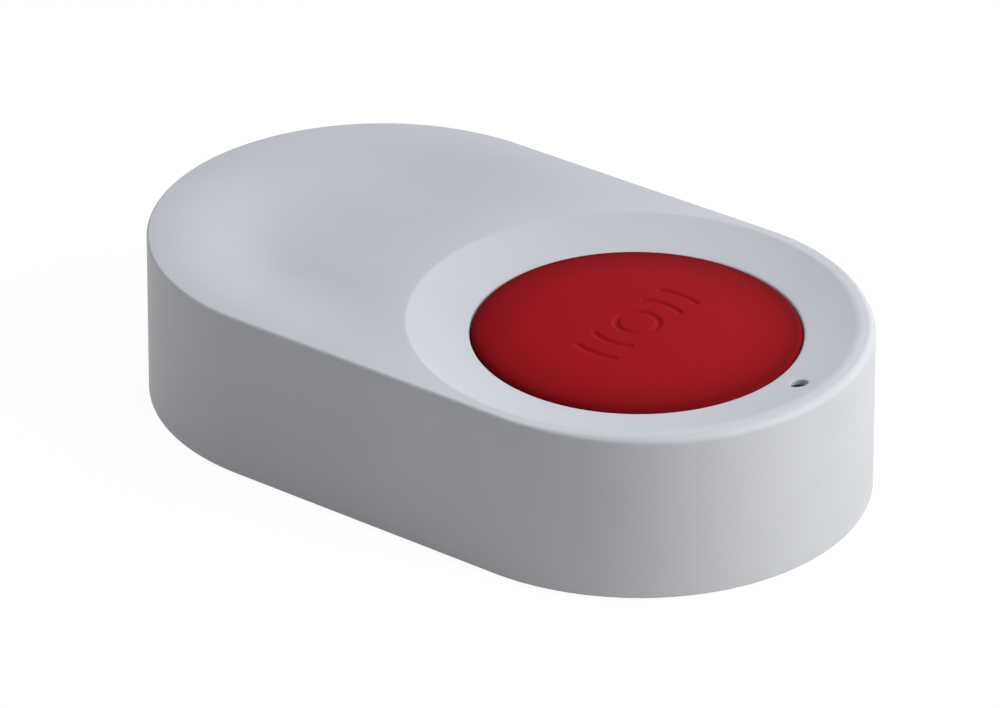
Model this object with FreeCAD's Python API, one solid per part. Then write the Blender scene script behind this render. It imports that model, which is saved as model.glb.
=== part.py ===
import FreeCAD, Part
import math
import os

# Compact table-top medical alert unit: a drafted, round-ended case with a large press button.
# Millimetres. +X runs along the case to its button end, +Z is up, and the origin is the middle
# of the footprint on the surface that the feet stand on.

# ---- Case ---------------------------------------------------------------------------------------
end_spacing = 34.0  # between the axes of the two round ends
rim_land = 1.05  # level rim between the dish and the case's outside
draft_out = 0.25  # how much further out the walls stand at their lower edge
rim_round = 0.35  # rounding between the walls and the top
shell_wall = 2.4
shell_ceiling = 2.8  # top wall, measured where the rest is not cut
ceiling_round = 1.0
ceiling_rib_count = 3
ceiling_rib_pitch = 7.0
ceiling_rib_wall = 1.0
ceiling_rib_depth = 1.2

# ---- Finger rest in the plain half of the top ---------------------------------------------------
rest_fall = 2.0  # degrees, from the dish's rim down towards the plain end
rest_flank = 6.5  # degrees, the side slopes of the rest
rest_side_land = 3.2  # level rim left along the sides
rest_end_land = 6.5  # level rim left at the plain end

# ---- Dish around the button ---------------------------------------------------------------------
dish_run = 6.45  # from the button hole out to the rim
dish_depth = 1.3  # at the button hole
crease_round = 0.6  # softens the dish's outer edge
dish_backing = 1.8  # wall under the dish
well_wall = 1.2  # sleeve that hangs down around the button

# ---- Button cap ---------------------------------------------------------------------------------
cap_radius = 17.25
cap_gap = 0.25  # all round, between the cap and its hole
crown_drop = 0.2  # the crown of the dome lies this far under the rim
dome_rise = 1.5
cap_web = 2.0
cap_edge_round = 0.6
skirt_wall = 1.4
skirt_floor_gap = 0.25  # left under the skirt at full travel
press_travel = 0.8
leg_count = 4
leg_wall = 1.2
leg_width = 7.0
leg_gap = 0.3  # between a leg and its slot
leg_inset = 0.6  # from the skirt's outside to the leg's
hook_height = 1.0
hook_grip = 0.65  # how far a hook reaches under the sleeve
hook_rest_gap = 0.05
boss_radius = 4.2
cap_rib_count = 6
cap_rib_wall = 1.2
cap_rib_drop = 0.25  # the ribs stop this far above the boss's end

# ---- Well floor and membrane --------------------------------------------------------------------
floor_drop = 5.65  # rim to the top of the well floor
floor_wall = 1.2
floor_switch_gap = 1.0  # from the switch's corners to the opening in the floor
bead_land = 2.0  # floor between its opening and the bead
bead_width = 1.7
bead_height = 0.8
membrane_wall = 0.6
pad_height = 1.0
bead_lip_wall = 0.8
bead_lip_height = 0.6
bead_gap = 0.2

# ---- Main board and its screws ------------------------------------------------------------------
board_wall = 1.2
board_gap = 0.5  # to the case wall
hook_board_gap = 0.3  # from a hook at full travel to the board
screw_radius = 1.0
screw_head_radius = 1.9
screw_head_height = 1.3
screw_grip = 4.6  # length of screw inside its boss
screw_gap = 0.15  # round the screw in the board
thread_gap = 0.02  # round the screw in its boss
drive_width = 0.6
drive_depth = 0.6
screw_boss_wall = 1.4
screw_side_gap = 0.6  # from a screw head to the cell holder

# ---- Tactile switches: the long-travel one under the button, the small one for pairing ----------
switch_width = 12.0
switch_base_height = 3.1
switch_height = 4.9  # board to the stem's end
switch_stem_radius = 3.0
pairing_width = 6.0
pairing_base_height = 3.2
pairing_height = 4.6
pairing_stem_radius = 1.75
pairing_travel = 0.25
pairing_x = 24.0
pairing_y = 12.0
switch_plate = 0.3
stem_flange = 0.8
stem_gap = 0.06
flange_gap = 0.3
dome_wall = 0.25
dome_rest = 0.6  # height left of a snap dome that is pressed flat

# ---- Coin cell, holder and contacts -------------------------------------------------------------
cell_diameter = 24.5
cell_thickness = 5.0
cell_step = 1.0  # the negative cap is this much smaller all round
cell_step_height = 0.6
cell_gap = 0.25
cell_end_gap = 1.6  # from the holder to the middle of the case
holder_wall = 1.3
holder_drop = 0.2  # the ring stops this far short of the cell's outer face
contact_sheet = 0.3
contact_spring = 0.5  # height of the sprung negative contact
contact_width = 8.0
strap_gap = 0.3
cell_floor_gap = 0.7  # between the strap and the rear cover

# ---- Parts on the board -------------------------------------------------------------------------
radio_length = 16.0
radio_width = 14.0
radio_wall = 0.8
can_length = 12.0
can_width = 10.0
can_height = 2.2
can_wall = 0.3
antenna_edge_gap = 0.8  # from the board's edge
antenna_sheet = 0.4
antenna_lift = 1.4
antenna_height = 3.0
antenna_span = 110.0  # degrees round the plain end
antenna_foot = 2.5
chip_width = 7.0
chip_height = 0.9
chip_gap = 1.2
capacitor_radius = 3.0
capacitor_height = 5.4
capacitor_base = 0.9
capacitor_gap = 0.8
led_length = 2.0
led_width = 1.25
led_height = 0.9
sounder_radius = 6.0
sounder_height = 5.2
sounder_wall = 0.6
sounder_port_radius = 1.5
sounder_disc = 0.3
sounder_x = 8.0

# ---- Indicator port and light pipe --------------------------------------------------------------
port_offset = 3.05  # from the edge of the button hole, towards the case's end
port_radius = 0.95
port_mouth_round = 0.35
pipe_gap = 0.05
pipe_recess = 0.6  # below the dish
pipe_collar = 0.6
pipe_collar_height = 0.8
pipe_boss_wall = 1.0
pipe_boss_length = 3.4
led_gap = 0.25

# ---- Rear cover, gasket, feet, snaps and wall screws --------------------------------------------
foot_stand = 0.4  # daylight under the case
foot_radius = 4.0
foot_depth = 0.6  # how deep a foot is let into the cover
foot_gap = 0.1
foot_x = 20.0
foot_y = 13.0
cover_wall = 2.0
cover_chamfer = 0.4
cover_gap = 0.15
pry_radius = 3.0
pry_depth = 1.0
mouth_wall = 1.4  # case wall outside the cover
gasket_height = 0.6
gasket_inset = 0.1
snap_x = 12.0
snap_width = 8.0
snap_wall = 1.2
snap_height = 4.6
snap_gap = 0.35
nib_reach = 0.9
nib_height = 0.9
nib_tip = 0.25  # height of a nib's blunt tip
nib_gap = 0.25
wall_screw_x = 25.0
wall_hole_radius = 2.1
wall_hole_length = 0.9
wall_sink_radius = 3.6
post_radius = 1.5
post_reach = 9.5  # from the button's axis to a post
slot_count = 3
slot_pitch = 2.6
slot_width = 1.2
slot_length = 8.0

# ---- Levels, stacked from the table up ----------------------------------------------------------
z_edge = foot_stand
z_cover = z_edge + cover_wall
z_shoulder = z_cover + gasket_height
z_cell_face = z_cover + cell_floor_gap + contact_sheet
z_cell_cap = z_cell_face + cell_thickness
z_board_low = z_cell_cap + contact_spring
z_board = z_board_low + board_wall
z_hook = z_board + hook_board_gap + press_travel
z_floor_low = z_hook + hook_height + hook_rest_gap
z_floor = z_floor_low + floor_wall
z_rim = z_floor + floor_drop
z_ceiling = z_rim - shell_ceiling
z_dish = z_rim - dish_depth
z_crown = z_rim - crown_drop
z_cap_edge = z_crown - dome_rise
z_skirt = z_floor + press_travel + skirt_floor_gap
z_stem = z_board + switch_height
z_boss = z_stem + pad_height
above = 6.0  # tools that cut the top reach this far over the rim

# ---- Radii and places that follow ---------------------------------------------------------------
button_x = end_spacing / 2
plain_x = -end_spacing / 2
hole_radius = cap_radius + cap_gap
well_radius = hole_radius + well_wall
dish_radius = hole_radius + dish_run
port_reach = hole_radius + port_offset
rim_radius = dish_radius + rim_land
edge_radius = rim_radius + draft_out
cavity_radius = rim_radius - shell_wall
cavity_edge_radius = edge_radius - shell_wall
mouth_radius = edge_radius - mouth_wall
cover_radius = mouth_radius - cover_gap
dish_slope = math.atan(dish_depth / (dish_radius - hole_radius))
dome_radius = (cap_radius**2 + dome_rise**2) / (2 * dome_rise)
leg_radius = cap_radius - leg_inset
floor_opening = switch_width * math.sqrt(0.5) + floor_switch_gap
bead_inner = floor_opening + bead_land
bead_radius = bead_inner + bead_width
board_radius = cavity_radius - board_gap
cell_radius = cell_diameter / 2
holder_radius = cell_radius + cell_gap + holder_wall
cell_x = -(holder_radius + cell_end_gap + contact_sheet)
screw_circle = holder_radius + screw_side_gap + screw_head_radius
port_x = button_x + port_reach


def at(x, y, z):
    return FreeCAD.Vector(x, y, z)


UP = at(0, 0, 1)


# ---- Building helpers ---------------------------------------------------------------------------


def rounded_face(corners):
    """Face in the XZ plane through (x, z) or (x, z, radius) corners, each rounded by its radius."""
    points = [at(c[0], 0, c[1]) for c in corners]
    radii = [c[2] if len(c) > 2 else 0 for c in corners]
    bends = []
    for i, (point, radius) in enumerate(zip(points, radii)):
        back = (points[i - 1] - point).normalize()
        ahead = (points[(i + 1) % len(points)] - point).normalize()
        half = back.getAngle(ahead) / 2
        middle = point
        if radius:
            middle = point + (back + ahead).normalize() * (radius / math.sin(half) - radius)
        reach = radius / math.tan(half) if radius else 0
        bends.append((point + back * reach, middle, point + ahead * reach))
    edges = []
    for i, (start, middle, end) in enumerate(bends):
        if radii[i]:
            edges.append(Part.Arc(start, middle, end).toShape())
        edges.append(Part.makeLine(end, bends[(i + 1) % len(bends)][0]))
    return Part.Face(Part.Wire(edges))


def turned(corners, x=0.0, y=0.0):
    """Solid of revolution about the upright axis at (x, y); corners give radius and height."""
    solid = rounded_face(corners).revolve(at(0, 0, 0), UP, 360)
    solid.translate(at(x, y, 0))
    return solid


def stadium(corners, spacing=end_spacing, x=0.0):
    """The same section carried round a stadium: a half turn at each end and two straight sides."""
    section = rounded_face(corners)
    section.rotate(at(0, 0, 0), UP, -90)
    half_turn = section.revolve(at(0, 0, 0), UP, 180)
    right = half_turn.translated(at(x + spacing / 2, 0, 0))
    left = half_turn.rotated(at(0, 0, 0), UP, 180)
    left.translate(at(x - spacing / 2, 0, 0))
    side = section.translated(at(x - spacing / 2, 0, 0)).extrude(at(spacing, 0, 0))
    other = side.rotated(at(x, 0, 0), UP, 180)
    return right.fuse([left, side, other]).removeSplitter()


def plate(radius, low, high):
    """Stadium plate of one radius between two heights."""
    return stadium([(0, low), (radius, low), (radius, high), (0, high)])


def rod(radius, low, high, x=0.0, y=0.0):
    return Part.makeCylinder(radius, high - low, at(x, y, low))


def ring(inner, outer, low, high, x=0.0, y=0.0):
    return rod(outer, low, high, x, y).cut(rod(inner, low, high, x, y))


def block(length, width, low, high, x=0.0, y=0.0):
    """Box centred on (x, y)."""
    corner = at(x - length / 2, y - width / 2, low)
    return Part.makeBox(length, width, high - low, corner)


def ring_piece(inner, outer, low, high, width, angle, x):
    """Piece of a ring about (x, 0), between two parallel planes a width apart."""
    slab = block(2 * outer, width, low, high, outer, 0)
    piece = slab.common(ring(inner, outer, low, high))
    piece.rotate(at(0, 0, 0), UP, angle)
    piece.translate(at(x, 0, 0))
    return piece


def leg_angles():
    return [(i + 0.5) * 360 / leg_count for i in range(leg_count)]


def screw_places():
    """Four board screws on a circle about the cell, clear of its holder."""
    step = screw_circle * math.sqrt(0.5)
    return [(cell_x + i * step, j * step) for i in (-1, 1) for j in (-1, 1)]


def foot_places():
    return [(i * foot_x, j * foot_y) for i in (-1, 1) for j in (-1, 1)]


# ---- Case ---------------------------------------------------------------------------------------


def case_block():
    """Outside of the case before anything is cut: drafted walls and a rounded rim."""
    return stadium(
        [(0, z_edge), (edge_radius, z_edge), (rim_radius, z_rim, rim_round), (0, z_rim)]
    )


def case_cavity():
    """Room inside the walls, with the wider mouth that takes the rear cover."""
    room = stadium(
        [
            (0, z_edge - 1),
            (cavity_edge_radius, z_edge - 1),
            (cavity_radius, z_ceiling, ceiling_round),
            (0, z_ceiling),
        ]
    )
    return room.fuse(plate(mouth_radius, z_edge - 1, z_shoulder))


def dish_cut():
    """Shallow cone down to the button hole, its outer edge softened into the rim."""
    return turned(
        [
            (0, z_dish),
            (hole_radius, z_dish),
            (dish_radius, z_rim, crease_round),
            (dish_radius + crease_round, z_rim),
            (dish_radius + crease_round, z_rim + above),
            (0, z_rim + above),
        ],
        button_x,
    )


def rest_cut():
    """Finger rest: a floor that falls away from the dish, inside gently sloping flanks."""
    start = dish_radius + crease_round * math.tan(dish_slope / 2)
    far = end_spacing + rim_radius
    fall = (far - start) * math.tan(math.radians(rest_fall))
    floor = turned(
        [(start, z_rim), (far, z_rim - fall), (far, z_rim + above), (start, z_rim + above)],
        button_x,
    )
    top = rim_radius - rest_side_land
    run = fall / math.tan(math.radians(rest_flank))
    lead = above / math.tan(math.radians(rest_flank))
    flanks = stadium(
        [(0, z_rim - fall), (top - run, z_rim - fall), (top + lead, z_rim + above), (0, z_rim + above)],
        end_spacing,
        rest_end_land - rest_side_land,
    )
    return floor.common(flanks)


def button_well():
    """Backing under the dish, the sleeve round the button and the floor that carries the membrane."""
    back = z_dish - dish_backing
    backing = turned(
        [
            (hole_radius, back),
            (dish_radius, z_rim - dish_backing),
            (dish_radius, z_rim - dish_backing / 2),
            (hole_radius, z_dish),
        ],
        button_x,
    )
    sleeve = ring(hole_radius, well_radius, z_floor_low, z_dish - dish_backing / 2, button_x)
    floor = ring(floor_opening, well_radius, z_floor_low, z_floor, button_x)
    lip_radius = bead_radius + bead_gap
    lip = ring(lip_radius, lip_radius + bead_lip_wall, z_floor, z_floor + bead_lip_height, button_x)
    return backing.fuse([sleeve, floor, lip])


def ceiling_ribs():
    """Ribs that stiffen the plain half from inside, from its end wall to the sleeve."""
    low = z_ceiling - ceiling_rib_depth
    start = plain_x - cavity_radius - shell_wall / 4
    length = button_x - start
    return [
        block(
            length,
            ceiling_rib_wall,
            low,
            z_ceiling + shell_ceiling / 4,
            start + length / 2,
            (i - (ceiling_rib_count - 1) / 2) * ceiling_rib_pitch,
        )
        for i in range(ceiling_rib_count)
    ]


def leg_slots():
    """Openings in the well floor that the cap's legs pass through."""
    inner = leg_radius - leg_wall - leg_gap
    width = leg_width + 2 * leg_gap
    return [
        ring_piece(inner, hole_radius, z_floor_low, z_floor, width, angle, button_x)
        for angle in leg_angles()
    ]


def screw_bosses():
    """Posts from the ceiling down to the board."""
    radius = screw_radius + thread_gap + screw_boss_wall
    return [rod(radius, z_board, z_ceiling + shell_ceiling / 2, x, y) for x, y in screw_places()]


def screw_pilots():
    return [
        rod(screw_radius + thread_gap, z_board, z_board + screw_grip + screw_gap, x, y)
        for x, y in screw_places()
    ]


def port_cut():
    """Bore for the light pipe, with a rounded mouth in the slope of the dish."""
    surface = z_rim - (dish_radius - port_reach) * math.tan(dish_slope)
    mouth = port_radius + port_mouth_round
    return turned(
        [
            (0, z_board),
            (port_radius, z_board),
            (port_radius, surface, port_mouth_round),
            (mouth, surface + port_mouth_round),
            (mouth, z_rim + above),
            (0, z_rim + above),
        ],
        port_x,
    )


def port_boss():
    surface = z_rim - (dish_radius - port_reach) * math.tan(dish_slope)
    return rod(port_radius + pipe_boss_wall, surface - dish_backing - pipe_boss_length, surface - 1, port_x)


def snap_pockets():
    """Recesses in the side walls that the rear cover's snaps catch in."""
    top = z_cover + snap_height
    low = top - nib_height - nib_gap
    reach = cavity_edge_radius - snap_gap + nib_reach + nib_gap
    width = snap_width + 2 * nib_gap
    return [block(width, 2 * reach, low, top + nib_gap, x) for x in (-snap_x, snap_x)]


def front_shell():
    shell = case_block().cut(case_cavity())
    added = [button_well(), port_boss()] + screw_bosses() + ceiling_ribs()
    shell = shell.fuse(added).common(case_block())
    opening = rod(hole_radius, z_floor, z_rim + above, button_x)
    shell = shell.cut([dish_cut(), rest_cut(), opening, port_cut()] + leg_slots())
    return shell.cut(screw_pilots() + snap_pockets()).removeSplitter()


# ---- Button -------------------------------------------------------------------------------------


def dome(radius):
    """Ball concentric with the cap's dome."""
    return Part.makeSphere(radius, at(button_x, 0, z_crown - dome_radius))


def rounded_top(blank):
    """The cap's blank with the edge between dome and skirt rounded."""
    edge = [e for e in blank.Edges if abs(e.CenterOfMass.z - z_cap_edge) < 0.01 and e.Closed]
    return blank.makeFillet(cap_edge_round, edge)


def cap_legs():
    """Sprung legs on the skirt, each with a hook that catches under the sleeve."""
    top = z_skirt + skirt_wall
    legs = []
    for angle in leg_angles():
        leg = ring_piece(
            leg_radius - leg_wall, leg_radius, z_hook, top, leg_width, angle, button_x
        )
        hook = ring_piece(
            leg_radius - leg_wall,
            hole_radius + hook_grip,
            z_hook,
            z_hook + hook_height,
            leg_width,
            angle,
            button_x,
        )
        legs += [leg, hook]
    return legs


def cap_ribs():
    """Ribs from the central boss to the skirt."""
    ribs = []
    for i in range(cap_rib_count):
        rib = block(cap_radius - skirt_wall / 2, cap_rib_wall, z_boss + cap_rib_drop, z_crown)
        rib.translate(at((cap_radius - skirt_wall / 2) / 2, 0, 0))
        rib.rotate(at(0, 0, 0), UP, i * 360 / cap_rib_count)
        rib.translate(at(button_x, 0, 0))
        ribs.append(rib)
    return ribs


def button_cap():
    blank = rod(cap_radius, z_skirt, z_crown, button_x).common(dome(dome_radius))
    blank = rounded_top(blank)
    hollow = rod(cap_radius - skirt_wall, z_skirt, z_crown, button_x)
    hollow = hollow.common(dome(dome_radius - cap_web))
    inside = dome(dome_radius - cap_web / 2)
    boss = rod(boss_radius, z_boss, z_crown, button_x).common(inside)
    ribs = [rib.common(inside) for rib in cap_ribs()]
    return blank.cut(hollow).fuse([boss] + ribs + cap_legs()).removeSplitter()


def button_membrane():
    """Silicone bell: a bead on the well floor, a thin cone and a pad between boss and stem."""
    return turned(
        [
            (0, z_stem),
            (boss_radius, z_stem),
            (bead_inner, z_floor),
            (bead_radius, z_floor),
            (bead_radius, z_floor + bead_height),
            (bead_inner, z_floor + bead_height),
            (boss_radius, z_stem + membrane_wall),
            (boss_radius, z_boss),
            (0, z_boss),
        ],
        button_x,
    )


# ---- Switches -----------------------------------------------------------------------------------
# Each is drawn standing on its board at height zero, then set in place.


def switch_parts(width, base_height, height, stem_radius, travel):
    """Housing, steel top plate, snap dome and stem of one tactile switch."""
    flange_radius = stem_radius + stem_flange
    flange_low = base_height - stem_flange
    rise = travel + dome_rest
    floor = flange_low - rise
    plate_top = base_height + switch_plate
    chamber = rod(flange_radius + flange_gap, floor, base_height)
    base = block(width, width, 0, base_height).cut(chamber)
    top_plate = block(width, width, base_height, plate_top)
    top_plate = top_plate.cut(rod(stem_radius + stem_gap, base_height, plate_top))
    stem = rod(flange_radius, flange_low, base_height).fuse(rod(stem_radius, flange_low, height))
    ball = (flange_radius**2 + rise**2) / (2 * rise)
    centre = at(0, 0, flange_low - ball)
    snap = Part.makeSphere(ball, centre).cut(Part.makeSphere(ball - dome_wall, centre))
    snap = snap.common(rod(flange_radius, floor, flange_low))
    return base, top_plate, snap, stem.removeSplitter()


def main_switch():
    shapes = switch_parts(
        switch_width, switch_base_height, switch_height, switch_stem_radius, press_travel
    )
    names = ["switch_base", "switch_plate", "switch_dome", "switch_stem"]
    return {n: s.translated(at(button_x, 0, z_board)) for n, s in zip(names, shapes)}


def pairing_switch():
    """The same kind of switch, smaller, hanging under the board with its stem down."""
    shapes = switch_parts(
        pairing_width, pairing_base_height, pairing_height, pairing_stem_radius, pairing_travel
    )
    names = ["pairing_base", "pairing_plate", "pairing_dome", "pairing_stem"]
    hung = {n: s.rotated(at(0, 0, 0), at(1, 0, 0), 180) for n, s in zip(names, shapes)}
    return {n: s.translated(at(pairing_x, pairing_y, z_board_low)) for n, s in hung.items()}


# ---- Board and what is soldered to it -----------------------------------------------------------


def main_board():
    holes = [rod(screw_radius + screw_gap, z_board_low, z_board, x, y) for x, y in screw_places()]
    return plate(board_radius, z_board_low, z_board).cut(holes)


def board_screws():
    """Pan-head screws from under the board into the case's bosses."""
    low = z_board_low - screw_head_height
    screws = []
    for x, y in screw_places():
        head = rod(screw_head_radius, low, z_board_low, x, y)
        shank = rod(screw_radius, z_board_low, z_board + screw_grip, x, y)
        reach = 2 * screw_head_radius - screw_radius
        cross = [
            block(reach, drive_width, low, low + drive_depth, x, y),
            block(drive_width, reach, low, low + drive_depth, x, y),
        ]
        screws.append(head.fuse(shank).cut(cross).removeSplitter())
    return Part.makeCompound(screws)


def radio_board():
    return block(radio_length, radio_width, z_board, z_board + radio_wall, cell_x)


def shield_can():
    """Open-bottomed tin over the radio's chips."""
    low = z_board + radio_wall
    outside = block(can_length, can_width, low, low + can_height, cell_x)
    inside = block(
        can_length - 2 * can_wall, can_width - 2 * can_wall, low, low + can_height - can_wall, cell_x
    )
    return outside.cut(inside)


def antenna():
    """Strip bent round the plain end of the board, standing on a foot at each end."""
    outer = board_radius - antenna_edge_gap
    inner = outer - antenna_sheet
    low = z_board + antenna_lift
    section = rounded_face(
        [(inner, low), (outer, low), (outer, low + antenna_height), (inner, low + antenna_height)]
    )
    foot = rounded_face([(inner, z_board), (outer, z_board), (outer, low), (inner, low)])
    foot_span = math.degrees(antenna_foot / outer)
    start = 180 - antenna_span / 2
    strip = section.revolve(at(0, 0, 0), UP, antenna_span)
    near = foot.revolve(at(0, 0, 0), UP, foot_span)
    far = near.rotated(at(0, 0, 0), UP, antenna_span - foot_span)
    bent = strip.fuse([near, far]).removeSplitter()
    bent.rotate(at(0, 0, 0), UP, start)
    bent.translate(at(plain_x, 0, 0))
    return bent


def controller_chip():
    x = cell_x + radio_length / 2 + chip_gap + chip_width / 2
    return block(chip_width, chip_width, z_board, z_board + chip_height, x)


def reservoir_capacitor():
    """Upright aluminium can on its square base."""
    y = radio_width / 2 + capacitor_gap + capacitor_radius
    base = block(
        2 * capacitor_radius, 2 * capacitor_radius, z_board, z_board + capacitor_base, cell_x, y
    )
    can = rod(capacitor_radius, z_board + capacitor_base, z_board + capacitor_height, cell_x, y)
    return base.fuse(can).removeSplitter()


def indicator_led():
    return block(led_length, led_width, z_board, z_board + led_height, port_x)


def light_pipe():
    """Clear rod from the lamp to the port, its collar under the boss."""
    surface = z_rim - (dish_radius - port_reach) * math.tan(dish_slope)
    boss_low = surface - dish_backing - pipe_boss_length
    radius = port_radius - pipe_gap
    low = z_board + led_height + led_gap
    shaft = rod(radius, low, surface - pipe_recess, port_x)
    collar = rod(radius + pipe_collar, boss_low - pipe_collar_height, boss_low, port_x)
    return shaft.fuse(collar).removeSplitter()


def sounder_case():
    """Round sounder under the board, its sound hole facing the rear cover."""
    low = z_board_low - sounder_height
    case = rod(sounder_radius, low, z_board_low, sounder_x)
    room = rod(sounder_radius - sounder_wall, low + sounder_wall, z_board_low - sounder_wall, sounder_x)
    return case.cut([room, rod(sounder_port_radius, low, low + sounder_wall, sounder_x)])


def sounder_disc_plate():
    """Piezo disc that rests on the board side of the sounder's chamber."""
    top = z_board_low - sounder_wall
    return rod(sounder_radius - sounder_wall - pipe_gap, top - sounder_disc, top, sounder_x)


# ---- Coin cell ----------------------------------------------------------------------------------


def coin_cell():
    """Wide can below, smaller negative cap above."""
    cap_low = z_cell_cap - cell_step_height
    return turned(
        [
            (0, z_cell_face),
            (cell_radius, z_cell_face),
            (cell_radius, cap_low),
            (cell_radius - cell_step, cap_low),
            (cell_radius - cell_step, z_cell_cap),
            (0, z_cell_cap),
        ],
        cell_x,
    )


def cell_holder():
    """Ring that hangs from the board round the cell, open at one side to lift the cell out."""
    wall = ring(
        cell_radius + cell_gap, holder_radius, z_cell_face + holder_drop, z_board_low, cell_x
    )
    mouth = block(holder_radius, cell_radius, z_cell_face, z_cell_cap, cell_x - holder_radius)
    return wall.cut(mouth)


def cell_positive_contact():
    """Sprung strap across the cell's can, its two legs soldered to the board."""
    reach = holder_radius + strap_gap + contact_sheet
    outside = block(contact_width, 2 * reach, z_cell_face - contact_sheet, z_board_low, cell_x)
    inside = block(
        contact_width, 2 * (reach - contact_sheet), z_cell_face, z_board_low, cell_x
    )
    return outside.cut(inside)


def cell_negative_contact():
    """Pressed pad on the board with a raised button that meets the cell's cap."""
    pad = block(contact_width, contact_width, z_board_low - contact_sheet, z_board_low, cell_x)
    button = rod(contact_width / 4, z_cell_cap, z_board_low, cell_x)
    return pad.fuse(button).removeSplitter()


# ---- Rear cover ---------------------------------------------------------------------------------


def snaps():
    """Sprung tongues along both sides, each with a wedge-shaped nib for the case wall."""
    outside = cavity_edge_radius - snap_gap
    inside = outside - snap_wall
    top = z_cover + snap_height
    catch = top - nib_height
    outline = [
        (inside, z_cover - cover_wall / 2),
        (outside, z_cover - cover_wall / 2),
        (outside, catch),
        (outside + nib_reach, catch),
        (outside + nib_reach, catch + nib_tip),
        (outside, top),
        (inside, top),
    ]
    tongues = []
    for side in (-1, 1):
        corners = [at(-snap_width / 2, side * y, z) for y, z in outline]
        tongue = Part.Face(Part.makePolygon(corners + corners[:1])).extrude(at(snap_width, 0, 0))
        tongues += [tongue.translated(at(x, 0, 0)) for x in (-snap_x, snap_x)]
    return tongues


def board_posts():
    """Posts under the board on both sides of the switch, which take the push of the button."""
    return [rod(post_radius, z_edge + 1, z_board_low, button_x, side * post_reach) for side in (-1, 1)]


def wall_screw_holes():
    """Bores with countersinks on the inner face, for the two wall screws."""
    neck = z_edge + wall_hole_length
    return [
        turned(
            [
                (0, z_edge),
                (wall_hole_radius, z_edge),
                (wall_hole_radius, neck),
                (wall_sink_radius, z_cover),
                (0, z_cover),
            ],
            x,
        )
        for x in (-wall_screw_x, wall_screw_x)
    ]


def sound_slots():
    slots = []
    for i in range(slot_count):
        y = (i - (slot_count - 1) / 2) * slot_pitch
        slot = block(slot_length - slot_width, slot_width, z_edge, z_cover, sounder_x, y)
        ends = [
            rod(slot_width / 2, z_edge, z_cover, sounder_x + side * (slot_length - slot_width) / 2, y)
            for side in (-1, 1)
        ]
        slots.append(slot.fuse(ends))
    return slots


def rear_cover():
    pockets = [
        rod(foot_radius + foot_gap, z_edge, z_edge + foot_depth, x, y) for x, y in foot_places()
    ]
    panel = stadium(
        [
            (0, z_edge),
            (cover_radius - cover_chamfer, z_edge),
            (cover_radius, z_edge + cover_chamfer),
            (cover_radius, z_cover),
            (0, z_cover),
        ]
    )
    pry_notch = rod(pry_radius, z_edge, z_edge + pry_depth, plain_x - cover_radius)
    cover = panel.fuse(snaps() + board_posts())
    return cover.cut(pockets + wall_screw_holes() + sound_slots() + [pry_notch]).removeSplitter()


def cover_gasket():
    inner = cavity_edge_radius + gasket_inset
    outer = cover_radius - gasket_inset
    return stadium(
        [(inner, z_cover), (outer, z_cover), (outer, z_shoulder), (inner, z_shoulder)]
    )


def rubber_feet():
    return Part.makeCompound(
        [rod(foot_radius, 0, foot_stand + foot_depth, x, y) for x, y in foot_places()]
    )


# ---- Write one file per piece -------------------------------------------------------------------


def all_pieces():
    pieces = {
        "front_shell": front_shell(),
        "rear_cover": rear_cover(),
        "cover_gasket": cover_gasket(),
        "rubber_feet": rubber_feet(),
        "button_cap": button_cap(),
        "button_membrane": button_membrane(),
        "light_pipe": light_pipe(),
        "indicator_led": indicator_led(),
        "main_board": main_board(),
        "board_screws": board_screws(),
        "radio_board": radio_board(),
        "shield_can": shield_can(),
        "antenna": antenna(),
        "controller_chip": controller_chip(),
        "reservoir_capacitor": reservoir_capacitor(),
        "sounder_case": sounder_case(),
        "sounder_disc": sounder_disc_plate(),
        "coin_cell": coin_cell(),
        "cell_holder": cell_holder(),
        "cell_positive_contact": cell_positive_contact(),
        "cell_negative_contact": cell_negative_contact(),
    }
    return {**pieces, **main_switch(), **pairing_switch()}


os.makedirs("parts", exist_ok=True)
for name, shape in all_pieces().items():
    shape.exportStep(f"parts/{name}.step")
    solids = len(shape.Solids)
    print(f"{name}: {solids} solid(s), {shape.Volume:.1f} mm3, valid {shape.isValid()}")
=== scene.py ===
# %% [markdown]
# # A table-top medical alert unit
# A palm-sized white case with round ends carries one large dark red press button in a shallow
# dish. The solids of every part come packed as a fixed frame: they give the places and the
# motion. This lesson dresses them: finer meshes where the eye rests, and a finish for every part.
# All lengths are metres, in the frame's own axes: +X runs to the button end and +Z is up.

# %% Load the frame
import math

import bmesh
import bpy
import numpy as np
from mathutils import Matrix, Vector


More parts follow.
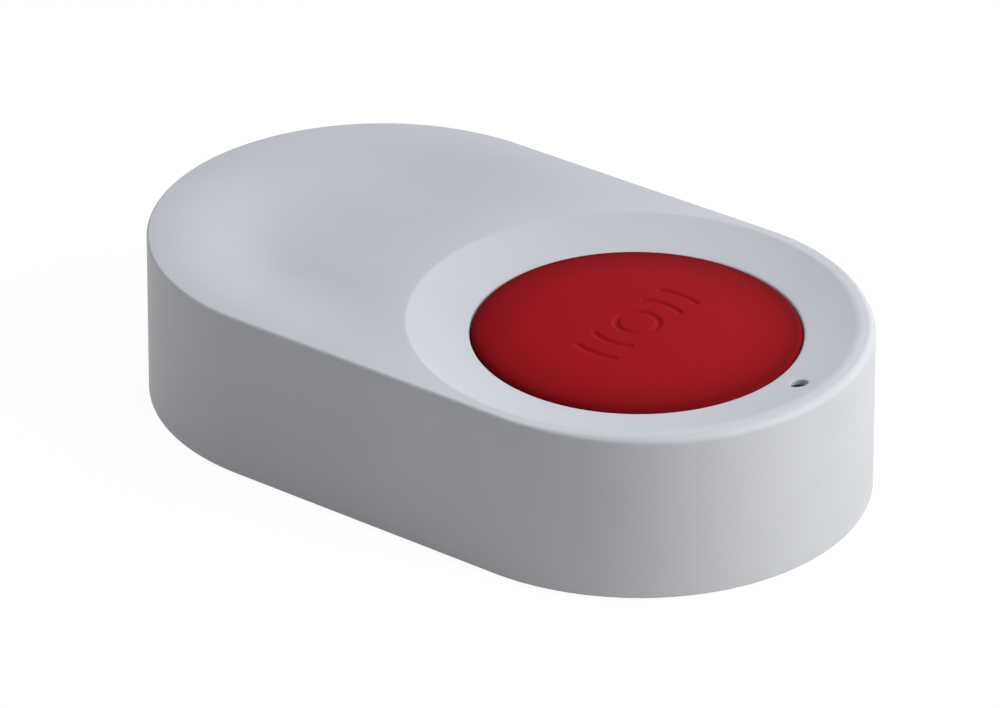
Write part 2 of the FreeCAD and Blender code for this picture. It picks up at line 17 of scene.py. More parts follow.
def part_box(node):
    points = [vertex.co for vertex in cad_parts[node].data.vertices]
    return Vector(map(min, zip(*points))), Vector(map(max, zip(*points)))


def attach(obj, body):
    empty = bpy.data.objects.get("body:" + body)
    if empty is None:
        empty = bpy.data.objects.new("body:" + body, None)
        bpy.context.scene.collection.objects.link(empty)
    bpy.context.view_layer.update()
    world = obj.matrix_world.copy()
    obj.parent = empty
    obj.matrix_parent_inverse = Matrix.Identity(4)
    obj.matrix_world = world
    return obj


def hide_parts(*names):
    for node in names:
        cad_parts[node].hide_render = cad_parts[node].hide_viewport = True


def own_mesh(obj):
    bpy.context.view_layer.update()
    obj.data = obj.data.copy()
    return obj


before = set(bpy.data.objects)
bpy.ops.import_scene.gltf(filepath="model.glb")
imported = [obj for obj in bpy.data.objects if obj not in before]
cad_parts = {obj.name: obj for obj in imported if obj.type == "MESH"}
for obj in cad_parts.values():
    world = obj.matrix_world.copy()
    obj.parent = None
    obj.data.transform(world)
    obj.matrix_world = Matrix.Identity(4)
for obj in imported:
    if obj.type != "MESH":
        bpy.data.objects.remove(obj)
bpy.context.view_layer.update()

# %% [markdown]
# ## Sizes that everything shares
# A dressed part has to sit exactly where its solid sits, so the main sizes are read from the
# boxes of the solids and not typed again. What a box can't tell, such as a wall or a radius
# inside the case, is named in millimetres in the cell that uses it.

# %% Read the main sizes from the solids
mm = 0.001
shell_low, shell_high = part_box("front_shell")
cap_low, cap_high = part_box("button_cap")
cover_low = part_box("rear_cover")[0]
board_low, board_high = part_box("main_board")
z_rim, z_edge = shell_high.z, shell_low.z
edge_radius = (shell_high.y - shell_low.y) / 2
end_spacing = shell_high.x - shell_low.x - 2 * edge_radius
button_x = end_spacing / 2
cap_radius = (cap_high.x - cap_low.x) / 2
z_crown = cap_high.z
shared = {"rim height": z_rim, "end radius": edge_radius, "cap radius": cap_radius}
print({label: round(size / mm, 2) for label, size in shared.items()}, "mm")

# %% [markdown]
# ## The camera
# A small product shows best from a good half metre through a long lens, which keeps its two long
# sides nearly parallel. The camera is set by azimuth, elevation and distance from a target in the
# middle of the case, because those are numbers that can be measured in a studio.

# %% Place the camera
# The roll is in radians. The aim shifts the camera sideways and up without turning it.
view_azimuth = math.radians(36.73)
view_elevation = math.radians(29.24)
view_roll = 0.0003
view_distance = 665 * mm
target = Vector((0, 0, 9.79 * mm))
aim_right, aim_up = -0.673 * mm, -0.398 * mm
sensor_width, focal_length = 36, 224.3


def direction(azimuth, elevation):
    """Unit vector towards an azimuth, counted from +X to +Y, and an elevation."""
    level = math.cos(elevation)
    return Vector((math.cos(azimuth) * level, math.sin(azimuth) * level, math.sin(elevation)))


def placed(name, data):
    """Object that holds a mesh, a lamp or a camera, linked into the scene."""
    made = bpy.data.objects.new(name, data)
    bpy.context.scene.collection.objects.link(made)
    return made


toward = direction(view_azimuth - math.pi / 2, view_elevation)
right = (-toward).cross(Vector((0, 0, 1))).normalized()
up = toward.cross(right)
right, up = (
    right * math.cos(view_roll) + up * math.sin(view_roll),
    up * math.cos(view_roll) - right * math.sin(view_roll),
)
lens = bpy.data.cameras.new("camera")
lens.sensor_width = sensor_width
lens.lens = focal_length
lens.clip_start = 10 * mm
camera = placed("camera", lens)
camera.matrix_world = Matrix((right, up, toward)).transposed().to_4x4()
camera.location = target + toward * view_distance + right * aim_right + up * aim_up
bpy.context.scene.camera = camera
bpy.context.scene.view_settings.view_transform = "Standard"
print("camera at", [round(v, 4) for v in camera.location])

# %% [markdown]
# ## Nodes in one line each
# Materials and Geometry Nodes are both trees of nodes. One helper adds a node, sets its options
# and fills its inputs with numbers or with links, so that a tree can be read from top to bottom.


# %% Helper for nodes
def node(tree, kind, inputs=None, **options):
    """Add a node; inputs are values or sockets to link, by name or by number."""
    made = tree.nodes.new(kind)
    for key, value in options.items():
        setattr(made, key, value)
    for key, value in (inputs or {}).items():
        if isinstance(value, bpy.types.NodeSocket):
            tree.links.new(value, made.inputs[key])
        else:
            made.inputs[key].default_value = value
    return made


def math_node(tree, operation, first, second=0.0, third=0.0):
    """Output of one Math node; each term is a number or a socket."""
    terms = {0: first, 1: second, 2: third}
    return node(tree, "ShaderNodeMath", terms, operation=operation).outputs[0]


print("node helpers ready")

# %% [markdown]
# ## Studio light
# A small soft box stands close by, off the button end and fairly low. Because it is so near, its
# light falls off along the case, and because it is low, it models the round walls and the slopes
# of the top. A second one above fills the top, one behind lifts the far side, and a weak one off
# the plain end keeps that end from going dark. Each lamp is described by the light that it gives
# on a face turned to it, as a share of what makes a white face white. That is easier to reason
# about than watts, and the power follows from it.


# %% Lamps
def soft_box(name, azimuth, elevation, distance, width, level, colour=(1, 1, 1)):
    """Square lamp aimed at the object; level is what a white face turned to it would show."""
    data = bpy.data.lights.new(name, "AREA")
    data.size = width
    # P watts at a distance d light a white face to P / (pi * d)**2.
    data.energy = level * math.pi**2 * distance**2
    data.color = colour
    lamp = placed(name, data)
    away = direction(math.radians(azimuth), math.radians(elevation))
    lamp.location = away * distance
    lamp.rotation_euler = away.to_track_quat("Z", "Y").to_euler()
    print(f"{name}: {data.energy:.2f} W")


warm, cool, rosy = (1.0, 0.995, 0.985), (0.97, 0.985, 1.05), (1.0, 0.985, 0.985)
soft_box("key_lamp", azimuth=18, elevation=33, distance=0.43, width=0.28, level=0.81, colour=warm)
soft_box("top_lamp", azimuth=-35, elevation=72, distance=0.68, width=0.52, level=0.325, colour=cool)
soft_box("back_lamp", azimuth=104, elevation=24, distance=1.1, width=0.6, level=0.29)
soft_box("end_lamp", azimuth=214, elevation=13, distance=1.1, width=0.6, level=0.187, colour=rosy)

# %% [markdown]
# ## World and floor
# The ground is plain white. Lighting a floor until it clips would also wash out the object, so
# the white is made another way: for rays that come straight from the camera, and for those that
# a glossy or clear surface sends on, the world glows at a strength of one. So does most of what
# the floor shows, and the rest of it is matt paper, which holds a faint shadow. Every other ray
# sees a dim world and the plain paper, so that this white adds to the object's gloss alone.

# %% World
world_level = 0.02
world_tone, white_tone = (0.95, 0.975, 1.0, 1), (1, 1, 1, 1)
world = bpy.data.worlds.new("studio")
bpy.context.scene.world = world
world.use_nodes = True
tree = world.node_tree
tree.nodes.clear()


def seen_directly(tree):
    """1 for camera, glossy and transmission rays."""
    path = node(tree, "ShaderNodeLightPath").outputs
    mirrored = math_node(tree, "MAXIMUM", path["Is Glossy Ray"], path["Is Transmission Ray"])
    return math_node(tree, "MAXIMUM", path["Is Camera Ray"], mirrored)


pale = node(tree, "ShaderNodeBackground", {"Color": world_tone, "Strength": world_level})
white = node(tree, "ShaderNodeBackground", {"Color": white_tone, "Strength": 1.0})
mixed = node(
    tree,
    "ShaderNodeMixShader",
    {0: seen_directly(tree), 1: pale.outputs[0], 2: white.outputs[0]},
)
node(tree, "ShaderNodeOutputWorld", {"Surface": mixed.outputs[0]})
print("world strength", world_level)

# %% Floor
floor_size = 2.4
floor_glow, glow_level = 0.86, 1.11
paper_tone = (0.68, 0.66, 0.61, 1)
half = floor_size / 2
corners = [(-half, -half, 0), (half, -half, 0), (half, half, 0), (-half, half, 0)]
floor_data = bpy.data.meshes.new("floor")
floor_data.from_pydata(corners, [], [(0, 1, 2, 3)])
floor = placed("floor", floor_data)
paper = bpy.data.materials.new("floor_paper")
paper.use_nodes = True
tree = paper.node_tree
tree.nodes.clear()
matt = node(tree, "ShaderNodeBsdfDiffuse", {"Color": paper_tone})
glow = node(tree, "ShaderNodeEmission", {"Color": white_tone, "Strength": glow_level})
share = math_node(tree, "MULTIPLY", seen_directly(tree), floor_glow)
mixed = node(tree, "ShaderNodeMixShader", {0: share, 1: matt.outputs[0], 2: glow.outputs[0]})
node(tree, "ShaderNodeOutputMaterial", {"Surface": mixed.outputs[0]})
floor_data.materials.append(paper)
print("floor", floor_size, "m square")

# %% [markdown]
# ## Finishes
# Nothing moulded is one flat colour. The moulds for such cases are spark eroded, which leaves a
# fine even grain in the plastic, and the tone drifts very slightly over the part. One recipe
# serves all plastics and rubbers: a fine noise drives the height and the roughness, a slow noise
# drives the tone. Patterns read Object coordinates, so they stay with the part when it moves.


# %% Helpers for finishes
def srgb(red, green, blue):
    """Colour written as 0 to 255, turned into Blender's linear values."""
    parts = [c / 255 for c in (red, green, blue)]
    linear = [c / 12.92 if c <= 0.04045 else ((c + 0.055) / 1.055) ** 2.4 for c in parts]
    return (*linear, 1.0)


def start_finish(name, roughness, metallic=0.0, **fixed):
    """New material; returns it with its tree, its shader and the Object coordinates."""
    made = bpy.data.materials.new(name)
    made.use_nodes = True
    tree = made.node_tree
    shader = tree.nodes["Principled BSDF"]
    shader.inputs["Roughness"].default_value = roughness
    shader.inputs["Metallic"].default_value = metallic
    for key, value in fixed.items():
        shader.inputs[key.replace("_", " ")].default_value = value
    return made, tree, shader, node(tree, "ShaderNodeTexCoord").outputs["Object"]


def tinted(tree, shader, factor, dark, light):
    """Base colour between two tones."""
    ramp = node(tree, "ShaderNodeMix", {0: factor, 6: dark, 7: light}, data_type="RGBA")
    tree.links.new(ramp.outputs[2], shader.inputs["Base Color"])


def spread(tree, value, low, high):
    """Noise mapped on to a range, centred on its usual values."""
    usual_low, usual_high = 0.3, 0.7
    inputs = {0: value, 1: usual_low, 2: usual_high, 3: low, 4: high}
    return node(tree, "ShaderNodeMapRange", inputs).outputs[0]


def roughened(tree, shader, height, depth):
    """Bump from a height between 0 and 1, which stands for the given depth."""
    bump = node(tree, "ShaderNodeBump", {"Height": height, "Distance": depth, "Strength": 1.0})
    tree.links.new(bump.outputs[0], shader.inputs["Normal"])


print("a grey written as 128 of 255 is", round(srgb(128, 128, 128)[0], 3), "in linear values")


# %% Recipe for plastic and rubber
def moulded(name, colour, roughness, grain=0.22 * mm, depth=3e-6, drift=0.025, **fixed):
    """Plastic or rubber with an even fine grain and a slow drift of tone."""
    made, tree, shader, place = start_finish(name, roughness, **fixed)
    drift_scale, rough_swing = 55.0, 0.05
    fine = node(tree, "ShaderNodeTexNoise", {"Vector": place, "Scale": 1 / grain, "Detail": 3.0})
    slow = node(tree, "ShaderNodeTexNoise", {"Vector": place, "Scale": drift_scale, "Detail": 2.0})
    dark = tuple(c * (1 - drift) for c in colour[:3]) + (1,)
    light = tuple(min(1.0, c * (1 + drift)) for c in colour[:3]) + (1,)
    tinted(tree, shader, spread(tree, slow.outputs[0], 0.0, 1.0), dark, light)
    swing = spread(tree, fine.outputs[0], roughness - rough_swing, roughness + rough_swing)
    tree.links.new(swing, shader.inputs["Roughness"])
    roughened(tree, shader, fine.outputs[0], depth)
    return made


print("recipe for moulded finishes ready")

# %% The moulded finishes
finish = {
    "white_plastic": moulded(
        "white_plastic", srgb(205, 208, 214), 0.5, depth=4e-6, Specular_IOR_Level=0.25
    ),
    "red_plastic": moulded(
        "red_plastic", (0.38, 0.0104, 0.0165, 1), 0.5, depth=2.5e-6, Specular_IOR_Level=0.005
    ),
    "silicone_grey": moulded("silicone_grey", srgb(120, 124, 130), 0.6, drift=0.04),
    "silicone_clear": moulded("silicone_clear", srgb(190, 195, 200), 0.45, Alpha=1.0),
    "rubber_grey": moulded("rubber_grey", srgb(96, 98, 102), 0.8, grain=0.35 * mm, depth=12e-6),
    "black_plastic": moulded("black_plastic", srgb(30, 31, 33), 0.5, drift=0.08),
    "red_stem": moulded("red_stem", srgb(150, 34, 36), 0.45),
    "lamp_body": moulded("lamp_body", srgb(226, 214, 168), 0.35),
    "clear_plastic": moulded(
        "clear_plastic",
        srgb(74, 77, 82),
        0.28,
        grain=0.12 * mm,
        depth=1e-6,
        Transmission_Weight=0.75,
        IOR=1.49,
    ),
}
print(len(finish), "moulded finishes")

# %% [markdown]
# ## Painted shade that darkens the red towards the edge
# The cap is brightest in its middle. Two fades of painted shade, one wide and one close to the
# edge, together bring the red down to about half of itself at the edge, where the cap sits low in
# its hole. That is a choice of looks, not a colour of the cap. The distance from the button's axis
# drives both fades: a Mapping node moves the axis to zero and flattens the height away, and the
# length of what is left is the radius.


# %% Painted shade on the red towards the edge of the cap
def paint_edge_shade(made, axis_x, start, end, share):
    """Painted shade: multiply a finish's colour by less and less between two radii round an upright
    axis.
    """
    tree = made.node_tree
    base = tree.nodes["Principled BSDF"].inputs["Base Color"]
    plain = base.links[0].from_socket
    place = node(tree, "ShaderNodeTexCoord").outputs["Object"]
    inputs = {"Vector": place, "Location": (-axis_x, 0, 0), "Scale": (1, 1, 0)}
    flat = node(tree, "ShaderNodeMapping", inputs).outputs[0]
    radius = node(tree, "ShaderNodeVectorMath", {0: flat}, operation="LENGTH").outputs["Value"]
    inputs = {0: radius, 1: start, 2: end, 3: 1.0, 4: share}
    grade = node(tree, "ShaderNodeMapRange", inputs, interpolation_type="SMOOTHSTEP").outputs[0]
    inputs = {0: 1.0, 6: plain, 7: grade}
    painted_shade = node(tree, "ShaderNodeMix", inputs, data_type="RGBA", blend_type="MULTIPLY")
    tree.links.new(painted_shade.outputs[2], base)


# Both fades are painted shade: they darken the red towards the edge of the cap.
wide_painted_shade = 10 * mm, 19 * mm, 0.62
edge_painted_shade = 15.3 * mm, 17.3 * mm, 0.75
for start, end, share in (wide_painted_shade, edge_painted_shade):
    paint_edge_shade(finish["red_plastic"], button_x, start, end, share)
    print(f"from {start / mm:.1f} to {end / mm:.1f} mm out the red falls to {share} of itself")

# %% [markdown]
# ## Metals and circuit boards
# Rolled and pressed metal shows fine lines along one direction, so the same noise is stretched
# along X. A circuit board has copper tracks under a coloured lacquer: the long bricks of a brick
# texture stand for the tracks, and round dots at the cells of a Voronoi texture for tinned holes.


# %% Recipe for rolled metal
def rolled(name, colour, roughness, along=14.0, across=4200.0):
    """Metal with fine lines along X."""
    made, tree, shader, place = start_finish(name, roughness, metallic=1.0)
    darkest, rough_swing, line_depth = 0.88, 0.08, 1.5e-6
    inputs = {"Vector": place, "Scale": (along, across, across)}
    drawn = node(tree, "ShaderNodeMapping", inputs).outputs[0]
    lines = node(tree, "ShaderNodeTexNoise", {"Vector": drawn, "Scale": 1.0, "Detail": 3.0})
    dark = tuple(c * darkest for c in colour[:3]) + (1,)
    tinted(tree, shader, lines.outputs[0], dark, colour)
    swing = spread(tree, lines.outputs[0], roughness - rough_swing, roughness + rough_swing)
    tree.links.new(swing, shader.inputs["Roughness"])
    roughened(tree, shader, lines.outputs[0], line_depth)
    return made


print("recipe for rolled metal ready")


# %% Recipe for circuit boards
def lacquered(name, colour, track_colour, pitch=1.3 * mm):
    """Circuit board: lacquer over tracks, with small tinned holes."""
    made, tree, shader, place = start_finish(name, 0.34, Coat_Weight=0.4, Coat_Roughness=0.2)
    hole_pitch, hole_start, hole_end, track_height = 3.1 * pitch, 0.07, 0.09, 3e-5
    tin = srgb(196, 190, 170)
    runs = node(
        tree,
        "ShaderNodeTexBrick",
        {
            "Vector": place,
            "Color1": track_colour,
            "Color2": colour,
            "Mortar": colour,
            "Scale": 1 / pitch,
            "Mortar Size": 0.16,
            "Brick Width": 3.4,
            "Row Height": 0.55,
        },
    )
    holes = node(tree, "ShaderNodeTexVoronoi", {"Vector": place, "Scale": 1 / hole_pitch})
    inputs = {0: holes.outputs[0], 1: hole_start, 2: hole_end, 3: 1, 4: 0}
    hole = node(tree, "ShaderNodeMapRange", inputs)
    inputs = {0: hole.outputs[0], 6: runs.outputs[0], 7: tin}
    faced = node(tree, "ShaderNodeMix", inputs, data_type="RGBA")
    tree.links.new(faced.outputs[2], shader.inputs["Base Color"])
    raised = node(tree, "ShaderNodeRGBToBW", {0: runs.outputs[0]})
    roughened(tree, shader, raised.outputs[0], track_height)
    return made


print("recipe for circuit boards ready")

# %% The metal and board finishes
finish.update(
    {
        "steel": rolled("steel", srgb(186, 188, 192), 0.34),
        "spring_steel": rolled("spring_steel", srgb(176, 178, 180), 0.28),
        "tin": rolled("tin", srgb(200, 201, 203), 0.36),
        "cell_steel": rolled("cell_steel", srgb(205, 206, 208), 0.24),
        "brass_strip": rolled("brass_strip", srgb(204, 176, 112), 0.3),
        "aluminium_can": rolled("aluminium_can", srgb(208, 210, 214), 0.3),
        "board_green": lacquered("board_green", srgb(22, 74, 46), srgb(32, 96, 60)),
        "board_blue": lacquered("board_blue", srgb(24, 52, 104), srgb(34, 70, 130)),
    }
)
print(len(finish), "finishes in all")

# %% [markdown]
# ## Meshes from sections
# Most of this object is round: a section is drawn once as a list of corners and then turned about
# an axis or carried round the case. Corners get their radius in the list, as on a drawing. Two
# extra points guard each long straight run beside a rounding, because without them smooth
# shading would spread the bend of the rounding over the whole flat wall.


# %% Helper for rounded sections
def rounded(corners, steps=6, guard=0.16 * mm):
    """Points along an open line of (r, z) or (r, z, radius) corners, rounded and guarded."""
    spots = [Vector(c[:2]) for c in corners]
    runs = [[spots[0]]]
    for i in range(1, len(corners) - 1):
        radius = corners[i][2] if len(corners[i]) > 2 else 0.0
        back = (spots[i - 1] - spots[i]).normalized()
        ahead = (spots[i + 1] - spots[i]).normalized()
        half = back.angle(ahead) / 2
        if not radius:
            runs.append([spots[i]])
            continue
        centre = spots[i] + (back + ahead).normalized() * radius / math.sin(half)
        first = spots[i] + back * radius / math.tan(half) - centre
        last = spots[i] + ahead * radius / math.tan(half) - centre
        turn = first.angle_signed(last)
        bend = [centre + Matrix.Rotation(-turn * k / steps, 2) @ first for k in range(steps + 1)]
        runs.append(bend)
    runs.append([spots[-1]])
    points = []
    for run, after in zip(runs, runs[1:] + [None]):
        points += run
        if after and (after[0] - run[-1]).length > 5 * guard:
            step = (after[0] - run[-1]).normalized() * guard
            points += [run[-1] + step] * (len(run) > 1) + [after[0] - step] * (len(after) > 1)
    return [tuple(p) for p in points]


print("one rounded corner becomes", len(rounded([(0, 0), (1, 0, 0.2), (1, 1)])) - 2, "points")

# %% Helpers for solids
merge_distance = 2e-7


def face_outwards(work):
    """Turn the faces of a closed bmesh outwards; returns its volume."""
    bmesh.ops.recalc_face_normals(work, faces=work.faces)
    if work.calc_volume(signed=True) < 0:
        bmesh.ops.reverse_faces(work, faces=work.faces)
    return work.calc_volume()


def from_bmesh(name, work):
    """Object with the mesh that a bmesh holds; the bmesh is used up."""
    data = bpy.data.meshes.new(name)
    work.to_mesh(data)
    work.free()
    return placed(name, data)


def solid(name, points, faces):
    """Object from points and faces, with doubles merged and faces turned outwards."""
    data = bpy.data.meshes.new(name)
    data.from_pydata([tuple(p) for p in points], [], faces)
    work = bmesh.new()
    work.from_mesh(data)
    bmesh.ops.remove_doubles(work, verts=work.verts, dist=merge_distance)
    face_outwards(work)
    return from_bmesh(name, work)


print("points closer than", merge_distance / mm, "mm are merged")


# %% Helpers for turned shapes and blocks
def grid_faces(rows, columns, loop_rows):
    """Quads between rows of points; columns close on themselves, and rows too if asked."""
    faces = []
    for i in range(rows if loop_rows else rows - 1):
        below, above = i * columns, (i + 1) % rows * columns
        for j in range(columns):
            k = (j + 1) % columns
            faces.append((below + j, below + k, above + k, above + j))
    return faces


def turned(name, section, x=0.0, y=0.0, steps=96):
    """Section turned about an upright axis; it is a closed loop unless it ends on the axis."""
    angle = np.arange(steps) * 2 * math.pi / steps
    points = [
        (x + r * math.cos(a), y + r * math.sin(a), z) for r, z in section for a in angle
    ]
    loop = section[0][0] > 0 or section[-1][0] > 0
    return solid(name, points, grid_faces(len(section), steps, loop))


def block(name, low, high):
    """Box between two corners."""
    work = bmesh.new()
    bmesh.ops.create_cube(work, size=1)
    low, high = Vector(low), Vector(high)
    for v in work.verts:
        v.co = Vector(a + (c + 0.5) * (b - a) for a, b, c in zip(low, high, v.co))
    return from_bmesh(name, work)


print("helpers for turned shapes and blocks ready")

# %% [markdown]
# ## Cutting and joining
# A hole that crosses a curved face is cut with a Boolean modifier, as a drill would. The modifier
# is then turned into plain mesh, so that the mesh holds what is seen, and edges sharper than a
# limit are kept crisp while the rest is shaded smooth.


# %% Helpers for cutting, joining and shading
def settle(piece):
    """Replace a piece's mesh by what its modifiers make of it."""
    graph = bpy.context.evaluated_depsgraph_get()
    made = bpy.data.meshes.new_from_object(piece.evaluated_get(graph))
    old = piece.data
    piece.modifiers.clear()
    piece.data = made
    if old.users == 0:
        bpy.data.meshes.remove(old)
    return piece


def boolean(piece, other, operation):
    """Cut another solid from a piece, or fuse it on; the other is used up."""
    change = piece.modifiers.new("change", "BOOLEAN")
    change.solver = "MANIFOLD"
    change.operation = operation
    change.object = other
    settle(piece)
    bpy.data.objects.remove(other)
    return piece


def shade(piece, finish_name, sharp=32):
    """Smooth shading with crisp edges and one finish."""
    piece.data.materials.clear()
    piece.data.materials.append(finish[finish_name])
    piece.data.shade_smooth()
    piece.data.set_sharp_from_angle(angle=math.radians(sharp))
    print(f"{piece.name}: {len(piece.data.polygons)} faces")
    return piece


print("cutting helpers ready")

# %% [markdown]
# ## The case
# The case is one moulding: drafted walls, a rim rounded by less than a millimetre, a nearly
# conical dish round the button, and a finger rest in the plain half that is so shallow that only
# its tones show. All of it can be told by one rule: rays run out from the button's axis, and every
# line of the section is carried round them, from a circle at the button to the round-ended outline
# at the wall. That gives clean rings round the button and no seam, which a Boolean of simple
# solids would not.

# %% Outline of the case
draft_out = 0.25 * mm
rim_radius = edge_radius - draft_out
hole_radius = cap_radius + 0.25 * mm
rays = 480
angle = np.arange(rays) * 2 * math.pi / rays
cosine, sine = np.cos(angle), np.sin(angle)


def outline(radius):
    """Distance along every ray from the button's axis to a round-ended outline."""
    side = radius / np.maximum(np.abs(sine), 1e-9)
    under = np.maximum(radius**2 - (end_spacing * sine) ** 2, 0)
    far_end = -end_spacing * cosine + np.sqrt(under)
    reach = np.where(side * -cosine <= end_spacing, side, far_end)
    return np.where(cosine >= 0, radius, reach)


reach = outline(rim_radius)
print(f"the rim lies {reach.min() / mm:.2f} to {reach.max() / mm:.2f} mm from the button's axis")

# %% [markdown]
# ## The top of the case
# The top is a function of x and y that gives a height. The dish and the finger rest are each a
# simple rule, and the lower of the two wins at every point. Where they meet, a crease as soft as
# the real one is rounded off, softer over the lip at the button end than along the sides.

# %% Height of the case's top
dish_shift = 0.6 * mm
dish_radius = 23.75 * mm
dish_depth = 1.3 * mm
dish_start_share = 0.7
rest_depth = 1.25 * mm
rest_margin = 1.5 * mm
rest_flank = 12.3 * mm
rest_lead = 19.5 * mm
crease_side, crease_lip = 0.03 * mm, 0.1 * mm
lip_start, lip_fade = 0.1, 0.7


def soft_min(a, b, width):
    """Smaller of two heights, with the corner between them rounded off."""
    near = np.maximum(width - np.abs(a - b), 0) / width
    return np.minimum(a, b) - near**2 * width / 4


def eased(share):
    """Smooth step from 0 to 1."""
    share = np.clip(share, 0, 1)
    return share * share * (3 - 2 * share)


def lip_share(x, out):
    """1 at the button end, where the lip is soft, and 0 along the sides and beyond."""
    return eased(((x - button_x) / np.maximum(out, mm) - lip_start) / lip_fade)


def top_height(x, y):
    """Height of the case's top: level rim, dish, and the rest that falls away from it."""
    out = np.hypot(x - button_x, y)
    share = np.hypot(x - button_x + dish_shift, y) - hole_radius
    share = share / (dish_radius - hole_radius)
    share = share * (dish_start_share + (1 - dish_start_share) * share)
    along = np.clip(x, -end_spacing / 2, end_spacing / 2)
    inside = rim_radius - rest_margin - np.hypot(x - along, y)
    rest = rest_depth * eased(inside / rest_flank) * eased((out - dish_radius) / rest_lead)
    crease = crease_side + crease_lip * lip_share(x, out)
    return z_rim + soft_min(dish_depth * (share - 1), -rest, crease)


probe = top_height(np.array([-button_x, 0.0]), np.array([0.0, 0.0]))
print("depth at the plain end's axis and in the middle:", np.round((z_rim - probe) / mm, 2), "mm")

# %% Sizes inside the case
wall, sleeve_wall = 2.4 * mm, 1.2 * mm
mouth_radius = edge_radius - 1.4 * mm
cavity_edge_radius = edge_radius - wall
cavity_radius = rim_radius - wall
z_shoulder = cover_low.z + 2.6 * mm
z_ceiling = z_rim - 2.8 * mm
membrane_low, membrane_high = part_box("button_membrane")
switch_low, switch_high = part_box("switch_base")
z_floor = membrane_low.z
z_floor_low = z_floor - sleeve_wall
well_radius = hole_radius + sleeve_wall
floor_opening = (switch_high.x - switch_low.x) * math.sqrt(0.5) + 1.0 * mm
bead_radius = (membrane_high.x - membrane_low.x) / 2
rim_crisp, rim_soft = 0.3 * mm, 0.8 * mm
hole_edge, hole_steps = 0.3 * mm, 6
levels = []


def level(distance, height):
    """One ring of points: a distance and a height for every ray."""
    levels.append((np.broadcast_to(distance, rays), np.broadcast_to(height, rays)))


def top_at(distance):
    """Height of the top at a distance from the button's axis, for every ray."""
    return top_height(button_x + distance * cosine, distance * sine)


print(f"well floor at {z_floor / mm:.2f} mm, ceiling at {z_ceiling / mm:.2f} mm")

# %% Carry the section round the case
mouth = top_at(hole_radius)
slope = np.arctan((top_at(hole_radius + 0.2 * mm) - mouth) / (0.2 * mm))
edge_run = hole_edge * np.tan((math.pi / 2 - slope) / 2)
for k in range(hole_steps + 1):
    bend = math.pi - (math.pi / 2 - slope) * k / hole_steps
    reach = hole_radius + hole_edge * (1 + np.cos(bend))
    level(reach, mouth - edge_run + hole_edge * np.sin(bend))
dish_start = hole_radius + edge_run * np.cos(slope)
dish_end = dish_radius - 1.2 * mm
rim_round = rim_crisp + (rim_soft - rim_crisp) * lip_share(button_x + cosine, 1.0)
rim_start = outline(rim_radius - rim_round)
knee = np.minimum(dish_radius + 1.6 * mm, (dish_end + rim_start) / 2)
for start, end, count in [
    (dish_start, dish_end, 15),
    (dish_end, knee, 20),
    (knee, rim_start, 31),
]:
    for share in np.linspace(0, 1, count)[1:]:
        distance = start + (end - start) * share
        level(distance, top_at(distance))


def wall_section(rim):
    """Section from the rim down the wall, round its edge and up inside to the ceiling."""
    foot_edge, mouth_edge, ceiling_edge = 0.2 * mm, 0.15 * mm, 1.0 * mm
    corners = [
        (rim_radius - 3 * mm, z_rim),
        (rim_radius, z_rim, rim),
        (edge_radius, z_edge, foot_edge),
        (mouth_radius, z_edge, mouth_edge),
        (mouth_radius, z_shoulder),
        (cavity_edge_radius, z_shoulder),
        (cavity_radius, z_ceiling, ceiling_edge),
        (cavity_radius - 2 * mm, z_ceiling),
    ]
    # The first three points lie on the top and the last two on the ceiling: they're left out.
    return np.array(rounded(corners, steps=10)[3:-2])


soft = (rim_round - rim_crisp) / (rim_soft - rim_crisp)
sunk = top_at(rim_start) - z_rim
for crisp_spot, soft_spot in zip(wall_section(rim_crisp), wall_section(rim_soft)):
    reach, height = (a + (b - a) * soft for a, b in zip(crisp_spot, soft_spot))
    level(outline(reach), height + np.where(height > z_rim - rim_round, sunk, 0))
print(len(levels), "levels so far, the last at", round(levels[-1][1][0] / mm, 2), "mm")

# %% [markdown]
# ## Closing the section
# Inside, the section runs back to where it began: a flat ceiling, a backing under the dish, the
# sleeve round the well, and the well's floor with its opening for the switch and a low lip that
# holds the bell's bead. The backing follows the dish at a constant distance, because a moulding
# needs even walls: a thick spot sinks as it cools.

# %% Close the section under the dish and round the well
backing = 1.8 * mm
lip_in, lip_out = bead_radius + 0.2 * mm, bead_radius + 1.0 * mm
z_lip = z_floor + 0.6 * mm
dish_grade = dish_depth / (dish_radius - hole_radius)
ceiling_end = hole_radius + (z_ceiling - z_rim + dish_depth + backing) / dish_grade
ceiling_start = levels[-1][0]
for share in np.linspace(0, 1, 6)[1:]:
    level(ceiling_start + (ceiling_end - ceiling_start) * share, z_ceiling)
level(well_radius, z_ceiling - (ceiling_end - well_radius) * dish_grade)
for reach, height in [
    (well_radius, z_floor_low),
    (floor_opening, z_floor_low),
    (floor_opening, z_floor),
    (lip_in, z_floor),
    (lip_in, z_lip),
    (lip_out, z_lip),
    (lip_out, z_floor),
    (hole_radius, z_floor),
    (hole_radius, mouth - edge_run - 0.2 * mm),
]:
    level(reach, height)
points = [
    (button_x + d * c, d * s, h)
    for distance, height in levels
    for d, h, c, s in zip(distance, height, cosine, sine)
]
case = solid("case_shell", points, grid_faces(len(levels), rays, True))
print("case:", len(levels), "levels of", rays, "rays")

# %% [markdown]
# ## Port and screw bosses
# Beside the button a small port lets the lamp under it show. Its mouth is softly rounded, so the
# cutter flares like a trumpet, and it is sheared to follow the slope of the dish. Behind the port
# stands a boss for the light pipe, and four more bosses take the board's screws. Each is turned
# and fused on, as the mould would form them together with the wall.

